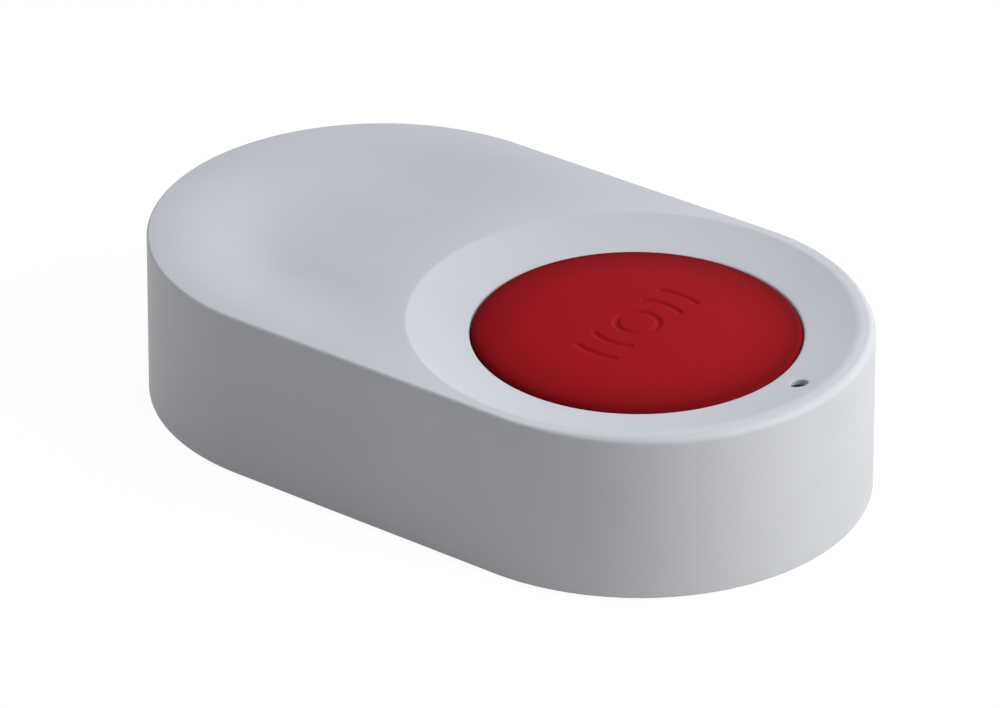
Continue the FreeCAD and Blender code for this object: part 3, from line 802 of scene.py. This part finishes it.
# %% Screw bosses
z_board = board_high.z
cell_low, cell_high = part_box("coin_cell")
cell_x = (cell_low.x + cell_high.x) / 2
screw_low, screw_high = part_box("board_screws")
screw_head_radius = 1.9 * mm
screw_step = (screw_high.y - screw_low.y) / 2 - screw_head_radius
pilot_radius, boss_radius = 1.02 * mm, 2.42 * mm
z_boss_end = z_ceiling + 1.2 * mm
tube = [
    (pilot_radius, z_board),
    (boss_radius, z_board),
    (boss_radius, z_boss_end),
    (pilot_radius, z_boss_end),
]
for x, y in [(cell_x + i * screw_step, j * screw_step) for i in (-1, 1) for j in (-1, 1)]:
    boolean(case, turned("boss", tube, x, y, 40), "UNION")
print("screw bosses:", round(screw_step / mm, 2), "mm to each side of x", round(cell_x / mm, 2))

# %% Port and its boss
pipe_low, pipe_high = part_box("light_pipe")
port_x = (pipe_low.x + pipe_high.x) / 2
port_radius = 0.95 * mm
port_mouth = 0.1 * mm
port_flare = port_radius + 2 * port_mouth
port_boss_radius = 1.95 * mm
port_sides = top_height(port_x + np.array([-mm, 0, mm]), np.zeros(3))
port_level = port_sides[1]
port_slope = (port_sides[2] - port_sides[0]) / (2 * mm)
boss_low = port_level - backing - 3.4 * mm
boss_top = port_level - 1 * mm
port_boss = [
    (0, boss_low),
    (port_boss_radius, boss_low),
    (port_boss_radius, boss_top),
    (0, boss_top),
]
boolean(case, turned("boss", port_boss, port_x, 0, 40), "UNION")
trumpet = rounded(
    [
        (0, z_board),
        (port_radius, z_board),
        (port_radius, port_level, port_mouth),
        (port_flare, port_level + 0.4 * port_mouth),
        (port_flare, z_rim + 2 * mm),
        (0, z_rim + 2 * mm),
    ],
    steps=12,
)
cutter = turned("port", trumpet, port_x, 0, 64)
for v in cutter.data.vertices:
    v.co.z += (v.co.x - port_x) * port_slope
boolean(case, cutter, "DIFFERENCE")
print("port cut at a height of", round(port_level / mm, 2), "mm")

# %% [markdown]
# ## Slots and pockets in the case
# The cap's legs pass through four slots in the well's floor and hook under it, and four pockets
# in the long walls catch the tongues of the rear cover. All are plain blocks in the real mould
# too, so blocks cut them here; each slot's block is turned to its place round the button.

# %% Leg slots and snap pockets
leg_count = 4
slot_half = 3.8 * mm
slot_inner = 15.1 * mm
for i in range(leg_count):
    turn = Matrix.Rotation((i + 0.5) * 2 * math.pi / leg_count, 4, "Z")
    low = (slot_inner, -slot_half, z_floor_low - mm)
    cutter = block("slot", low, (hole_radius, slot_half, z_floor + mm))
    cutter.data.transform(Matrix.Translation((button_x, 0, 0)) @ turn)
    boolean(case, cutter, "DIFFERENCE")
snap_x, snap_half = 12 * mm, 4.25 * mm
pocket_y = 23.65 * mm
z_pocket_low, z_pocket_high = 5.85 * mm, 7.25 * mm
for x in (-snap_x, snap_x):
    low = (x - snap_half, -pocket_y, z_pocket_low)
    cutter = block("pocket", low, (x + snap_half, pocket_y, z_pocket_high))
    boolean(case, cutter, "DIFFERENCE")
shade(case, "white_plastic")
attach(case, "case")
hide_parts("front_shell")
print(leg_count, "slots and 4 pockets cut")

# %% [markdown]
# ## The button cap
# The cap is a shallow dome that rises by less than its own wall, with a rounded edge and a call
# sign pressed into it: a ring with two waves on each side. The dome is a turned shape, so a
# Geometry Nodes tree turns the section: it lays a grid of rays and levels and sends each point to
# its place. A Screw modifier could turn it too, but this tree also presses the sign in, from the
# distance of each point to the nearest line of the sign. Rings of points already follow the
# sign's lines, so the grooves stay clean.

# %% Section of the cap
cap_edge_round = 0.6 * mm
dome_rise = 0.85 * mm
skirt_wall = 1.4 * mm
cap_web = 2.0 * mm
skirt_edge = 0.15 * mm
z_skirt = z_floor + 1.05 * mm
# The cap is drawn slightly wider than its solid and off the well's axis: its gap is uneven.
cap_out = cap_radius + 0.13 * mm
cap_x = button_x + 0.06 * mm
dome_end, edge_start = cap_out - 2.4 * mm, cap_out - 2.0 * mm
dome_radius = (cap_out**2 + dome_rise**2) / (2 * dome_rise)
sign_reach, signed_levels = 9.0 * mm, 91


def dome_height(r, radius=dome_radius):
    """Height of the dome, or of the same centre's smaller ball under its web."""
    return z_crown - dome_radius + math.sqrt(radius**2 - r**2)


inner_radius = cap_out - skirt_wall
under = dome_radius - cap_web
section = [(r, dome_height(r)) for r in np.linspace(0, sign_reach, signed_levels)]
section += [(r, dome_height(r)) for r in np.linspace(sign_reach, dome_end, 16)[1:]]
section += rounded(
    [
        (edge_start, dome_height(edge_start)),
        (cap_out, dome_height(cap_out), cap_edge_round),
        (cap_out, z_skirt, skirt_edge),
        (inner_radius, z_skirt, skirt_edge),
        (inner_radius, dome_height(inner_radius, under)),
        (inner_radius - 0.5 * mm, dome_height(inner_radius - 0.5 * mm, under)),
    ],
    steps=8,
    guard=0.12 * mm,
)
section += [(r, dome_height(r, under)) for r in np.linspace(inner_radius - 1 * mm, 0, 8)]
print("cap section has", len(section), "points")


# %% Helpers for Geometry Nodes trees
def new_tree(name, inputs):
    """Geometry Nodes tree with named inputs; returns the tree and its input sockets."""
    tree = bpy.data.node_groups.new(name, "GeometryNodeTree")
    tree.interface.new_socket("Geometry", in_out="INPUT", socket_type="NodeSocketGeometry")
    for label, kind in inputs:
        tree.interface.new_socket(label, in_out="INPUT", socket_type="NodeSocket" + kind)
    tree.interface.new_socket("Geometry", in_out="OUTPUT", socket_type="NodeSocketGeometry")
    return tree, node(tree, "NodeGroupInput").outputs


def end_tree(tree, geometry, material):
    """Every tree ends the same way: real geometry with its finish."""
    real = node(tree, "GeometryNodeRealizeInstances", {0: geometry})
    done = node(tree, "GeometryNodeSetMaterial", {0: real.outputs[0], "Material": material})
    node(tree, "NodeGroupOutput", {0: done.outputs[0]})


def run_tree(piece, tree, values):
    """Set the named inputs by their identifiers, run the tree and keep plain mesh."""
    change = piece.modifiers.new("made", "NODES")
    change.node_group = tree
    for item in tree.interface.items_tree:
        if item.in_out == "INPUT" and item.name in values:
            change[item.identifier] = values[item.name]
    return settle(piece)


print("helpers for Geometry Nodes trees ready")

# %% A tree that turns a section
turn_tree, given = new_tree(
    "turned_and_signed",
    [
        ("Rays", "Int"),
        ("Signed Levels", "Int"),
        ("Groove Depth", "Float"),
        ("Groove Floor", "Float"),
        ("Groove Edge", "Float"),
        ("Ring Radius", "Float"),
        ("Wave Radius", "Float"),
        ("Outer Wave Radius", "Float"),
        ("Wave Half Height", "Float"),
        ("Axis X", "Float"),
        ("Material", "Material"),
    ],
)
t = turn_tree
count = node(t, "GeometryNodeAttributeDomainSize", {0: given["Geometry"]}).outputs["Point Count"]
columns = math_node(t, "ADD", given["Rays"], 1.0)
grid = node(t, "GeometryNodeMeshGrid", {"Vertices X": columns, "Vertices Y": count}).outputs[0]
index = node(t, "GeometryNodeInputIndex").outputs[0]
ray = math_node(t, "FLOOR", math_node(t, "DIVIDE", math_node(t, "ADD", index, 0.5), count))
step = math_node(t, "SUBTRACT", index, math_node(t, "MULTIPLY", ray, count))
spot = node(
    t,
    "GeometryNodeSampleIndex",
    {
        0: given["Geometry"],
        "Value": node(t, "GeometryNodeInputPosition").outputs[0],
        "Index": step,
    },
    data_type="FLOAT_VECTOR",
).outputs[0]
place = node(t, "ShaderNodeSeparateXYZ", {0: spot}).outputs
radius, height = place[0], place[2]
turn = math_node(t, "MULTIPLY", math_node(t, "DIVIDE", ray, given["Rays"]), 2 * math.pi)
off_wave = math_node(t, "ARCCOSINE", math_node(t, "ABSOLUTE", math_node(t, "SINE", turn)))
print("tree with", len(t.nodes), "nodes so far")


# %% Press the sign in and end the tree
def groove(line_radius, half_height=None):
    """Share of the full depth: one on the line, none beyond the groove's edge.

    A line is a circle, or two arcs of it that end at half_height. The cosine rule gives the
    distance to it from both radii and from the angle by which a point lies past an arc's end.
    """
    own, line = math_node(t, "POWER", radius, 2.0), math_node(t, "POWER", line_radius, 2.0)
    squares = math_node(t, "ADD", own, line)
    cross = math_node(t, "MULTIPLY", math_node(t, "MULTIPLY", radius, line_radius), 2.0)
    if half_height is not None:
        span = math_node(t, "ARCSINE", math_node(t, "DIVIDE", half_height, line_radius))
        beyond = math_node(t, "MAXIMUM", math_node(t, "SUBTRACT", off_wave, span), 0.0)
        cross = math_node(t, "MULTIPLY", cross, math_node(t, "COSINE", beyond))
    left = math_node(t, "MAXIMUM", math_node(t, "SUBTRACT", squares, cross), 0.0)
    away = math_node(t, "SQRT", left)
    inputs = {0: away, 1: given["Groove Floor"], 2: given["Groove Edge"], 3: 1.0, 4: 0.0}
    return node(t, "ShaderNodeMapRange", inputs, interpolation_type="SMOOTHSTEP").outputs[0]


pressed = groove(given["Ring Radius"])
for line in ("Wave Radius", "Outer Wave Radius"):
    pressed = math_node(t, "MAXIMUM", pressed, groove(given[line], given["Wave Half Height"]))
on_top = math_node(t, "LESS_THAN", step, given["Signed Levels"])
pressed = math_node(t, "MULTIPLY", pressed, on_top)
sunk = math_node(t, "MULTIPLY", pressed, given["Groove Depth"])
across = math_node(t, "MULTIPLY", radius, math_node(t, "COSINE", turn))
final = node(
    t,
    "ShaderNodeCombineXYZ",
    {
        0: math_node(t, "ADD", across, given["Axis X"]),
        1: math_node(t, "MULTIPLY", radius, math_node(t, "SINE", turn)),
        2: math_node(t, "SUBTRACT", height, sunk),
    },
).outputs[0]
moved = node(t, "GeometryNodeSetPosition", {0: grid, "Position": final}).outputs[0]
closed = node(t, "GeometryNodeMergeByDistance", {0: moved, "Distance": 1e-6}).outputs[0]
end_tree(t, closed, given["Material"])
print("tree with", len(t.nodes), "nodes")

# %% [markdown]
# ## Turning the cap
# The section becomes a mesh of loose points, which is all that the tree asks for. What comes back
# is measured: a closed solid has no open edges, and its volume has to be that of a thin cap.

# %% Turn the cap
line_data = bpy.data.meshes.new("cap_section")
line_data.from_pydata([(r, 0, z) for r, z in section], [], [])
cap = placed("press_cap", line_data)
run_tree(
    cap,
    turn_tree,
    {
        "Rays": 400,
        "Signed Levels": signed_levels,
        "Groove Depth": 0.18 * mm,
        "Groove Floor": 0.1 * mm,
        "Groove Edge": 0.5 * mm,
        "Ring Radius": 2.25 * mm,
        "Wave Radius": 5.0 * mm,
        "Outer Wave Radius": 7.75 * mm,
        "Wave Half Height": 2.3 * mm,
        "Axis X": cap_x,
        "Material": finish["red_plastic"],
    },
)
work = bmesh.new()
work.from_mesh(cap.data)
volume = face_outwards(work)
open_edges = sum(not e.is_manifold for e in work.edges)
print("cap volume", round(volume * 1e9, 1), "mm3, open edges", open_edges)
work.to_mesh(cap.data)
work.free()
shade(cap, "red_plastic", 40)
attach(cap, "button")
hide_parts("button_cap")

# %% [markdown]
# ## Copies round an axis: legs and ribs of the cap
# Under the cap, four sprung legs end in hooks that hold it in the well, a boss in the middle
# pushes on the silicone bell, and six ribs carry that push out to the skirt. Each kind is drawn
# once. A Geometry Nodes tree puts a point on the axis for every copy, sets an instance of the one
# drawn shape on each point, and gives it its share of a full turn.


# %% Tree for copies round an axis
def prism(name, shape, ys):
    """Solid with a shape of (r, z) points, carried across y at a constant radius."""
    count = len(shape)
    points = [(math.sqrt(max(r * r - y * y, 0)), y, z) for y in ys for r, z in shape]
    faces = grid_faces(len(ys), count, False)
    faces += [tuple(range(count)), tuple((len(ys) - 1) * count + k for k in range(count))]
    return solid(name, points, faces)


def joined(name, pieces):
    """One object with the meshes of several; those are used up."""
    work = bmesh.new()
    for piece in pieces:
        work.from_mesh(piece.data)
        bpy.data.objects.remove(piece)
    return from_bmesh(name, work)


round_tree, given = new_tree(
    "copies_round_an_axis",
    [
        ("Copies", "Int"),
        ("First Angle", "Float"),
        ("Axis X", "Float"),
        ("Material", "Material"),
    ],
)
t = round_tree
centre = node(t, "ShaderNodeCombineXYZ", {0: given["Axis X"]}).outputs[0]
spots = node(t, "GeometryNodePoints", {"Count": given["Copies"], "Position": centre}).outputs[0]
share = math_node(t, "DIVIDE", node(t, "GeometryNodeInputIndex").outputs[0], given["Copies"])
turn = math_node(t, "MULTIPLY_ADD", share, 2 * math.pi, given["First Angle"])
facing = node(t, "ShaderNodeCombineXYZ", {2: turn}).outputs[0]
copies = node(
    t,
    "GeometryNodeInstanceOnPoints",
    {"Points": spots, "Instance": given["Geometry"], "Rotation": facing},
).outputs[0]
end_tree(t, copies, given["Material"])
print("tree with", len(t.nodes), "nodes")

# %% Legs of the cap
z_boss = membrane_high.z
z_hook = z_board + 1.1 * mm
z_catch = z_hook + mm
z_leg_root = z_skirt + 1.0 * mm
leg_wall, leg_half = 1.2 * mm, 3.5 * mm
leg_out = cap_radius - 0.6 * mm
leg_in = leg_out - leg_wall
hook_tip = leg_out + 0.35 * mm
hook_out = hole_radius + 0.65 * mm
leg_outline = rounded(
    [
        (leg_in, z_hook + 3 * mm),
        (leg_in, z_hook, 0.2 * mm),
        (hook_tip, z_hook, 0.15 * mm),
        (hook_out, z_hook + 0.62 * mm, 0.12 * mm),
        (hook_out, z_catch, 0.08 * mm),
        (leg_out, z_catch, 0.2 * mm),
        (leg_out, z_leg_root),
        (leg_in, z_leg_root),
    ],
    steps=4,
)
legs = prism("cap_legs", leg_outline, np.linspace(-leg_half, leg_half, 13))
values = {"Axis X": cap_x, "Material": finish["red_plastic"]}
run_tree(legs, round_tree, values | {"Copies": leg_count, "First Angle": math.pi / leg_count})
print(leg_count, "legs:", len(legs.data.polygons), "faces")

# %% Ribs under the cap
rib_count, rib_half = 6, 0.6 * mm
rib_in, rib_out = 3.8 * mm, inner_radius + 0.5 * mm
z_rib = z_boss + 0.25 * mm
reach = np.linspace(rib_out, rib_in, 14)
rib_outline = [(r, dome_height(r, under) + 0.4 * mm) for r in reach]
rib_outline += [(rib_in, z_rib), (rib_out, z_rib)]
ribs = prism("cap_ribs", rib_outline, np.array([-rib_half, rib_half]))
run_tree(ribs, round_tree, values | {"Copies": rib_count, "First Angle": 0.0})
print(rib_count, "ribs:", len(ribs.data.polygons), "faces")

# %% Boss, and the cap's inside as one piece
cap_boss_radius, boss_collar = 4.2 * mm, 5.0 * mm
z_boss_root = z_crown - 1.5 * mm
boss_outline = rounded(
    [
        (0, z_boss),
        (cap_boss_radius, z_boss, 0.3 * mm),
        (cap_boss_radius, dome_height(cap_boss_radius, under), 0.5 * mm),
        (boss_collar, dome_height(boss_collar, under) + 0.1 * mm),
        (boss_collar, z_boss_root),
        (0, z_boss_root),
    ],
    steps=4,
)
boss = turned("cap_boss", boss_outline, cap_x, 0, 48)
inside = joined("cap_inside", [legs, ribs, boss])
shade(inside, "red_plastic")
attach(inside, "button")

# %% [markdown]
# ## Soft parts that give way
# Two kinds of part bend each time a button is pressed: the silicone bell under the cap, and the
# snap domes of thin steel in the two switches. They are turned shapes, and each gets a mesh of its
# own.

# %% The silicone bell
z_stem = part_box("switch_stem")[1].z
bead_inner = floor_opening + 2.0 * mm
z_bead = z_floor + 0.8 * mm
bell_wall = 0.6 * mm
bell_outline = rounded(
    [
        (0, z_stem),
        (cap_boss_radius, z_stem, 0.3 * mm),
        (bead_inner, z_floor, 0.3 * mm),
        (bead_radius, z_floor, 0.15 * mm),
        (bead_radius, z_bead, 0.25 * mm),
        (bead_inner, z_bead, 0.3 * mm),
        (cap_boss_radius, z_stem + bell_wall, 0.2 * mm),
        (cap_boss_radius, z_boss, 0.15 * mm),
        (0, z_boss),
    ],
    steps=4,
)
bell_seal = turned("silicone_bell", bell_outline, button_x)
shade(bell_seal, "silicone_clear")
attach(bell_seal, "case")
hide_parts("button_membrane")


def give_way(piece):
    """Give the piece its own copy of its mesh."""
    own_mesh(piece)


give_way(bell_seal)

# %% [markdown]
# ## Snap domes
# A tactile switch clicks because a small dome of spring steel caves in at a certain push. Each
# dome is a thin shell of a ball: its radius follows from how wide and how high the dome is. The
# one under the board hangs upside down, so the same recipe serves both ways round.


# %% Snap domes of the two switches
def snap_dome(name, node_name, upwards):
    """Thin shell of a ball in the box of its solid, which bulges up or down."""
    low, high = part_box(node_name)
    reach, rise, wall = (high.x - low.x) / 2, high.z - low.z, 0.25 * mm
    ball = (reach**2 + rise**2) / (2 * rise)
    section = []
    for radius, share in ((ball, np.linspace(0, 1, 10)), (ball - wall, np.linspace(1, 0, 10))):
        widest = math.sqrt(radius**2 - (ball - rise) ** 2)
        section += [(r, math.sqrt(radius**2 - r**2) - ball + rise) for r in share * widest]
    section = [(r, low.z + h if upwards else high.z - h) for r, h in section]
    made = turned(name, section, (low.x + high.x) / 2, (low.y + high.y) / 2, 48)
    shade(made, "spring_steel")
    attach(made, "case")
    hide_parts(node_name)
    give_way(made)


snap_dome("press_snap_dome", "switch_dome", True)
snap_dome("pairing_snap_dome", "pairing_dome", False)
print("two snap domes made")

# %% [markdown]
# ## The rear cover
# The cover closes the case from below. It is a flat panel with a bevelled edge, and it carries
# what works with its neighbours: four sprung tongues that catch in the case, two posts that take
# the push of the button, pockets for the feet, two holes for wall screws with their countersinks
# inside, slots over the sounder and a notch to prise it off. The panel is a section carried
# round the case's outline, and the rest is cut or fused as it would be in the mould.


# %% Panel of the cover
def round_ended(steps):
    """Side and angle of every point on two half circles, in order round the outline."""
    turn = np.linspace(-math.pi / 2, math.pi / 2, steps)
    return [(1, a) for a in turn] + [(-1, a + math.pi) for a in turn]


def carried(name, section, spacing=end_spacing, x=0.0, y=0.0, steps=48):
    """Section of (radius, z) points carried round two half circles and the sides between."""
    ends = round_ended(steps)
    points = [
        (x + side * spacing / 2 + r * math.cos(a), y + r * math.sin(a), z)
        for r, z in section
        for side, a in ends
    ]
    loop = section[0][0] > 0 or section[-1][0] > 0
    return solid(name, points, grid_faces(len(section), 2 * steps, loop))


cover_radius = mouth_radius - 0.15 * mm
cover_bevel = 0.4 * mm
z_cover = z_edge + 2.0 * mm
panel_outline = rounded(
    [
        (0, z_edge),
        (cover_radius - cover_bevel, z_edge, 0.1 * mm),
        (cover_radius, z_edge + cover_bevel, 0.1 * mm),
        (cover_radius, z_cover, 0.15 * mm),
        (0, z_cover),
    ],
    steps=3,
)
cover = carried("cover_panel", panel_outline)
print("plain panel:", len(cover.data.polygons), "faces")

# %% [markdown]
# ## Holes in the cover
# Whatever goes through a flat panel can be drilled: pockets that hold the feet, wall-screw holes
# that widen inwards, and half a hole at the plain end as the notch. The slots over the sounder
# are small round-ended shapes themselves, so the helper that carries a section makes them too.

# %% Pockets for the feet
foot_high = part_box("rubber_feet")[1]
foot_radius = 4.0 * mm
foot_x, foot_y = foot_high.x - foot_radius, foot_high.y - foot_radius
feet_places = [(i * foot_x, j * foot_y) for i in (-1, 1) for j in (-1, 1)]
pocket_radius = foot_radius + 0.1 * mm
z_out, z_in = z_edge - mm, z_cover + mm


def drill(name, bore, places):
    """Cut the same turned hole at several places of the cover."""
    for x, y in places:
        boolean(cover, turned(name, bore, x, y, 48), "DIFFERENCE")


pocket = [(0, z_out), (pocket_radius, z_out), (pocket_radius, foot_high.z), (0, foot_high.z)]
drill("pocket", pocket, feet_places)
print("pockets", round((foot_high.z - z_edge) / mm, 2), "mm deep")

# %% Wall-screw holes, sound slots and notch
wall_screw_x = 25 * mm
shank_radius, head_radius = 2.1 * mm, 3.6 * mm
wall_hole = [
    (0, z_out),
    (shank_radius, z_out),
    (shank_radius, z_edge + 0.9 * mm),
    (head_radius, z_cover),
    (head_radius, z_in),
    (0, z_in),
]
drill("wall_hole", wall_hole, [(-wall_screw_x, 0), (wall_screw_x, 0)])
sounder_low, sounder_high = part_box("sounder_case")
sounder_x = (sounder_low.x + sounder_high.x) / 2
sound_radius, sound_step, sound_run = 0.6 * mm, 2.6 * mm, 6.8 * mm
through = [(0, z_out), (sound_radius, z_out), (sound_radius, z_in), (0, z_in)]
for y in (-sound_step, 0, sound_step):
    slot = carried("slot", through, sound_run, sounder_x, y, 12)
    boolean(cover, slot, "DIFFERENCE")
notch_radius, z_notch = 3 * mm, z_edge + mm
notch = [(0, z_out), (notch_radius, z_out), (notch_radius, z_notch), (0, z_notch)]
drill("notch", notch, [(-end_spacing / 2 - cover_radius, 0)])
print("cover panel:", len(cover.data.polygons), "faces")

# %% [markdown]
# ## What stands on the cover
# Each tongue is one outline given a width, as a moulded snap is drawn. Its slope lets it slide in
# and its flat catch holds it in the pocket. The two posts reach up to the board under the button,
# so that a push doesn't bend the board.

# %% Tongues and posts on the cover
tongue_wall, tongue_hook, tongue_half = 1.2 * mm, 0.9 * mm, 4 * mm
tongue_out = cavity_edge_radius - 0.35 * mm
tongue_in = tongue_out - tongue_wall
z_root = z_cover - 0.6 * mm
z_tongue = z_cover + 4.6 * mm
tongue_outline = rounded(
    [
        (tongue_in, z_root),
        (tongue_out, z_root),
        (tongue_out, z_tongue - tongue_hook, 0.15 * mm),
        (tongue_out + tongue_hook, z_tongue - tongue_hook, 0.1 * mm),
        (tongue_out + tongue_hook, z_tongue - 0.65 * mm, 0.1 * mm),
        (tongue_out, z_tongue, 0.2 * mm),
        (tongue_in, z_tongue, 0.3 * mm),
        (tongue_in, z_cover + mm),
    ],
    steps=3,
)
count = len(tongue_outline)
faces = grid_faces(2, count, False) + [tuple(range(count)), tuple(range(count, 2 * count))]
for x in (-snap_x, snap_x):
    for side in (-1, 1):
        points = [(x + e * tongue_half, side * y, z) for e in (-1, 1) for y, z in tongue_outline]
        boolean(cover, solid("tongue", points, faces), "UNION")
post_radius, post_y = 1.5 * mm, 9.5 * mm
post = rounded(
    [
        (0, z_root),
        (post_radius, z_root),
        (post_radius, board_low.z, 0.2 * mm),
        (0, board_low.z),
    ],
    steps=3,
)
for y in (-post_y, post_y):
    boolean(cover, turned("post", post, button_x, y, 32), "UNION")
print("tongues reach", round(z_tongue / mm, 2), "mm and posts", round(board_low.z / mm, 2), "mm up")
shade(cover, "white_plastic")
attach(cover, "case")
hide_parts("rear_cover")

# %% [markdown]
# ## Feet
# Four soft feet sit in pockets at the corners of a rectangle. One foot is turned, with a shallow
# dip in its sole that grips the table, and a grid of two by two points places its copies.

# %% Four feet on a grid
feet_tree, given = new_tree(
    "copies_on_a_grid",
    [("Length", "Float"), ("Width", "Float"), ("Material", "Material")],
)
t = feet_tree
inputs = {"Size X": given["Length"], "Size Y": given["Width"], "Vertices X": 2, "Vertices Y": 2}
corners = node(t, "GeometryNodeMeshGrid", inputs).outputs[0]
inputs = {"Points": corners, "Instance": given["Geometry"]}
copies = node(t, "GeometryNodeInstanceOnPoints", inputs).outputs[0]
end_tree(t, copies, given["Material"])
foot_dip, dip_in, dip_out = 0.12 * mm, 2.2 * mm, 2.5 * mm
foot_outline = rounded(
    [
        (0, foot_dip),
        (dip_in, foot_dip, 0.1 * mm),
        (dip_out, 0.0, 0.1 * mm),
        (foot_radius - 0.15 * mm, 0.0, 0.2 * mm),
        (foot_radius, foot_high.z, 0.1 * mm),
        (0, foot_high.z),
    ],
    steps=4,
    guard=0.1 * mm,
)
feet = turned("soft_feet", foot_outline, 0, 0, 64)
values = {"Length": 2 * foot_x, "Width": 2 * foot_y, "Material": finish["rubber_grey"]}
run_tree(feet, feet_tree, values)
shade(feet, "rubber_grey")
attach(feet, "case")
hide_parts("rubber_feet")
print("feet stand at", round(foot_x / mm, 2), "and", round(foot_y / mm, 2), "mm from the middle")

# %% [markdown]
# ## Gasket
# The gasket is a flat strip of silicone that follows the edge of the case and keeps dust and
# splashes out. For a strip along a path the natural tree is Curve to Mesh: the path is the case's
# outline, and the profile is a small rectangle with its corners rounded off.

# %% Gasket along the case's edge
gasket_low, gasket_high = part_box("cover_gasket")
seal_tree, given = new_tree(
    "strip_along_a_path",
    [("Width", "Float"), ("Height", "Float"), ("Corner", "Float"), ("Material", "Material")],
)
t = seal_tree
path = node(t, "GeometryNodeMeshToCurve", {0: given["Geometry"]}).outputs[0]
upright = node(t, "GeometryNodeSetCurveNormal", {0: path}, mode="Z_UP").outputs[0]
inputs = {"Width": given["Width"], "Height": given["Height"]}
flat = node(t, "GeometryNodeCurvePrimitiveQuadrilateral", inputs).outputs[0]
inputs = {"Curve": flat, "Radius": given["Corner"], "Count": 3}
profile = node(t, "GeometryNodeFilletCurve", inputs, mode="POLY").outputs[0]
inputs = {"Curve": upright, "Profile Curve": profile}
strip = node(t, "GeometryNodeCurveToMesh", inputs).outputs[0]
end_tree(t, strip, given["Material"])
gasket_in, gasket_out = cavity_edge_radius + 0.1 * mm, gasket_high.y
middle = (gasket_in + gasket_out) / 2
half = end_spacing / 2
level_z = (gasket_low.z + gasket_high.z) / 2
way = [
    (side * half + middle * math.cos(a), middle * math.sin(a), level_z)
    for side, a in round_ended(64)
]
line_data = bpy.data.meshes.new("gasket_path")
line_data.from_pydata(way, [(k, (k + 1) % len(way)) for k in range(len(way))], [])
gasket = placed("edge_gasket", line_data)
values = {
    "Width": gasket_out - gasket_in,
    "Height": gasket_high.z - gasket_low.z,
    "Corner": 0.12 * mm,
    "Material": finish["silicone_grey"],
}
run_tree(gasket, seal_tree, values)
shade(gasket, "silicone_grey")
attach(gasket, "case")
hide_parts("cover_gasket")
spans = [[round(c / mm, 2) for c in v.co] for v in gasket.data.vertices]
print("gasket reaches from", np.min(spans, axis=0), "to", np.max(spans, axis=0))

# %% [markdown]
# ## Finish for what stays
# Every solid that nothing has replaced gets its finish. Nearly all of these parts hide inside,
# where their own shape is enough. The list says which are metal, board, clear or coloured, and
# the rest are moulded in black plastic.

# %% Assign finishes to the solids
stay = {
    "light_pipe": "clear_plastic",
    "indicator_led": "lamp_body",
    "main_board": "board_green",
    "radio_board": "board_blue",
    "board_screws": "steel",
    "switch_plate": "steel",
    "pairing_plate": "steel",
    "shield_can": "tin",
    "antenna": "brass_strip",
    "coin_cell": "cell_steel",
    "cell_positive_contact": "tin",
    "cell_negative_contact": "tin",
    "sounder_disc": "brass_strip",
    "reservoir_capacitor": "aluminium_can",
    "switch_stem": "red_stem",
}
for name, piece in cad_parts.items():
    piece.data.materials.clear()
    piece.data.materials.append(finish[stay.get(name, "black_plastic")])
print(len(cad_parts), "solids dressed")
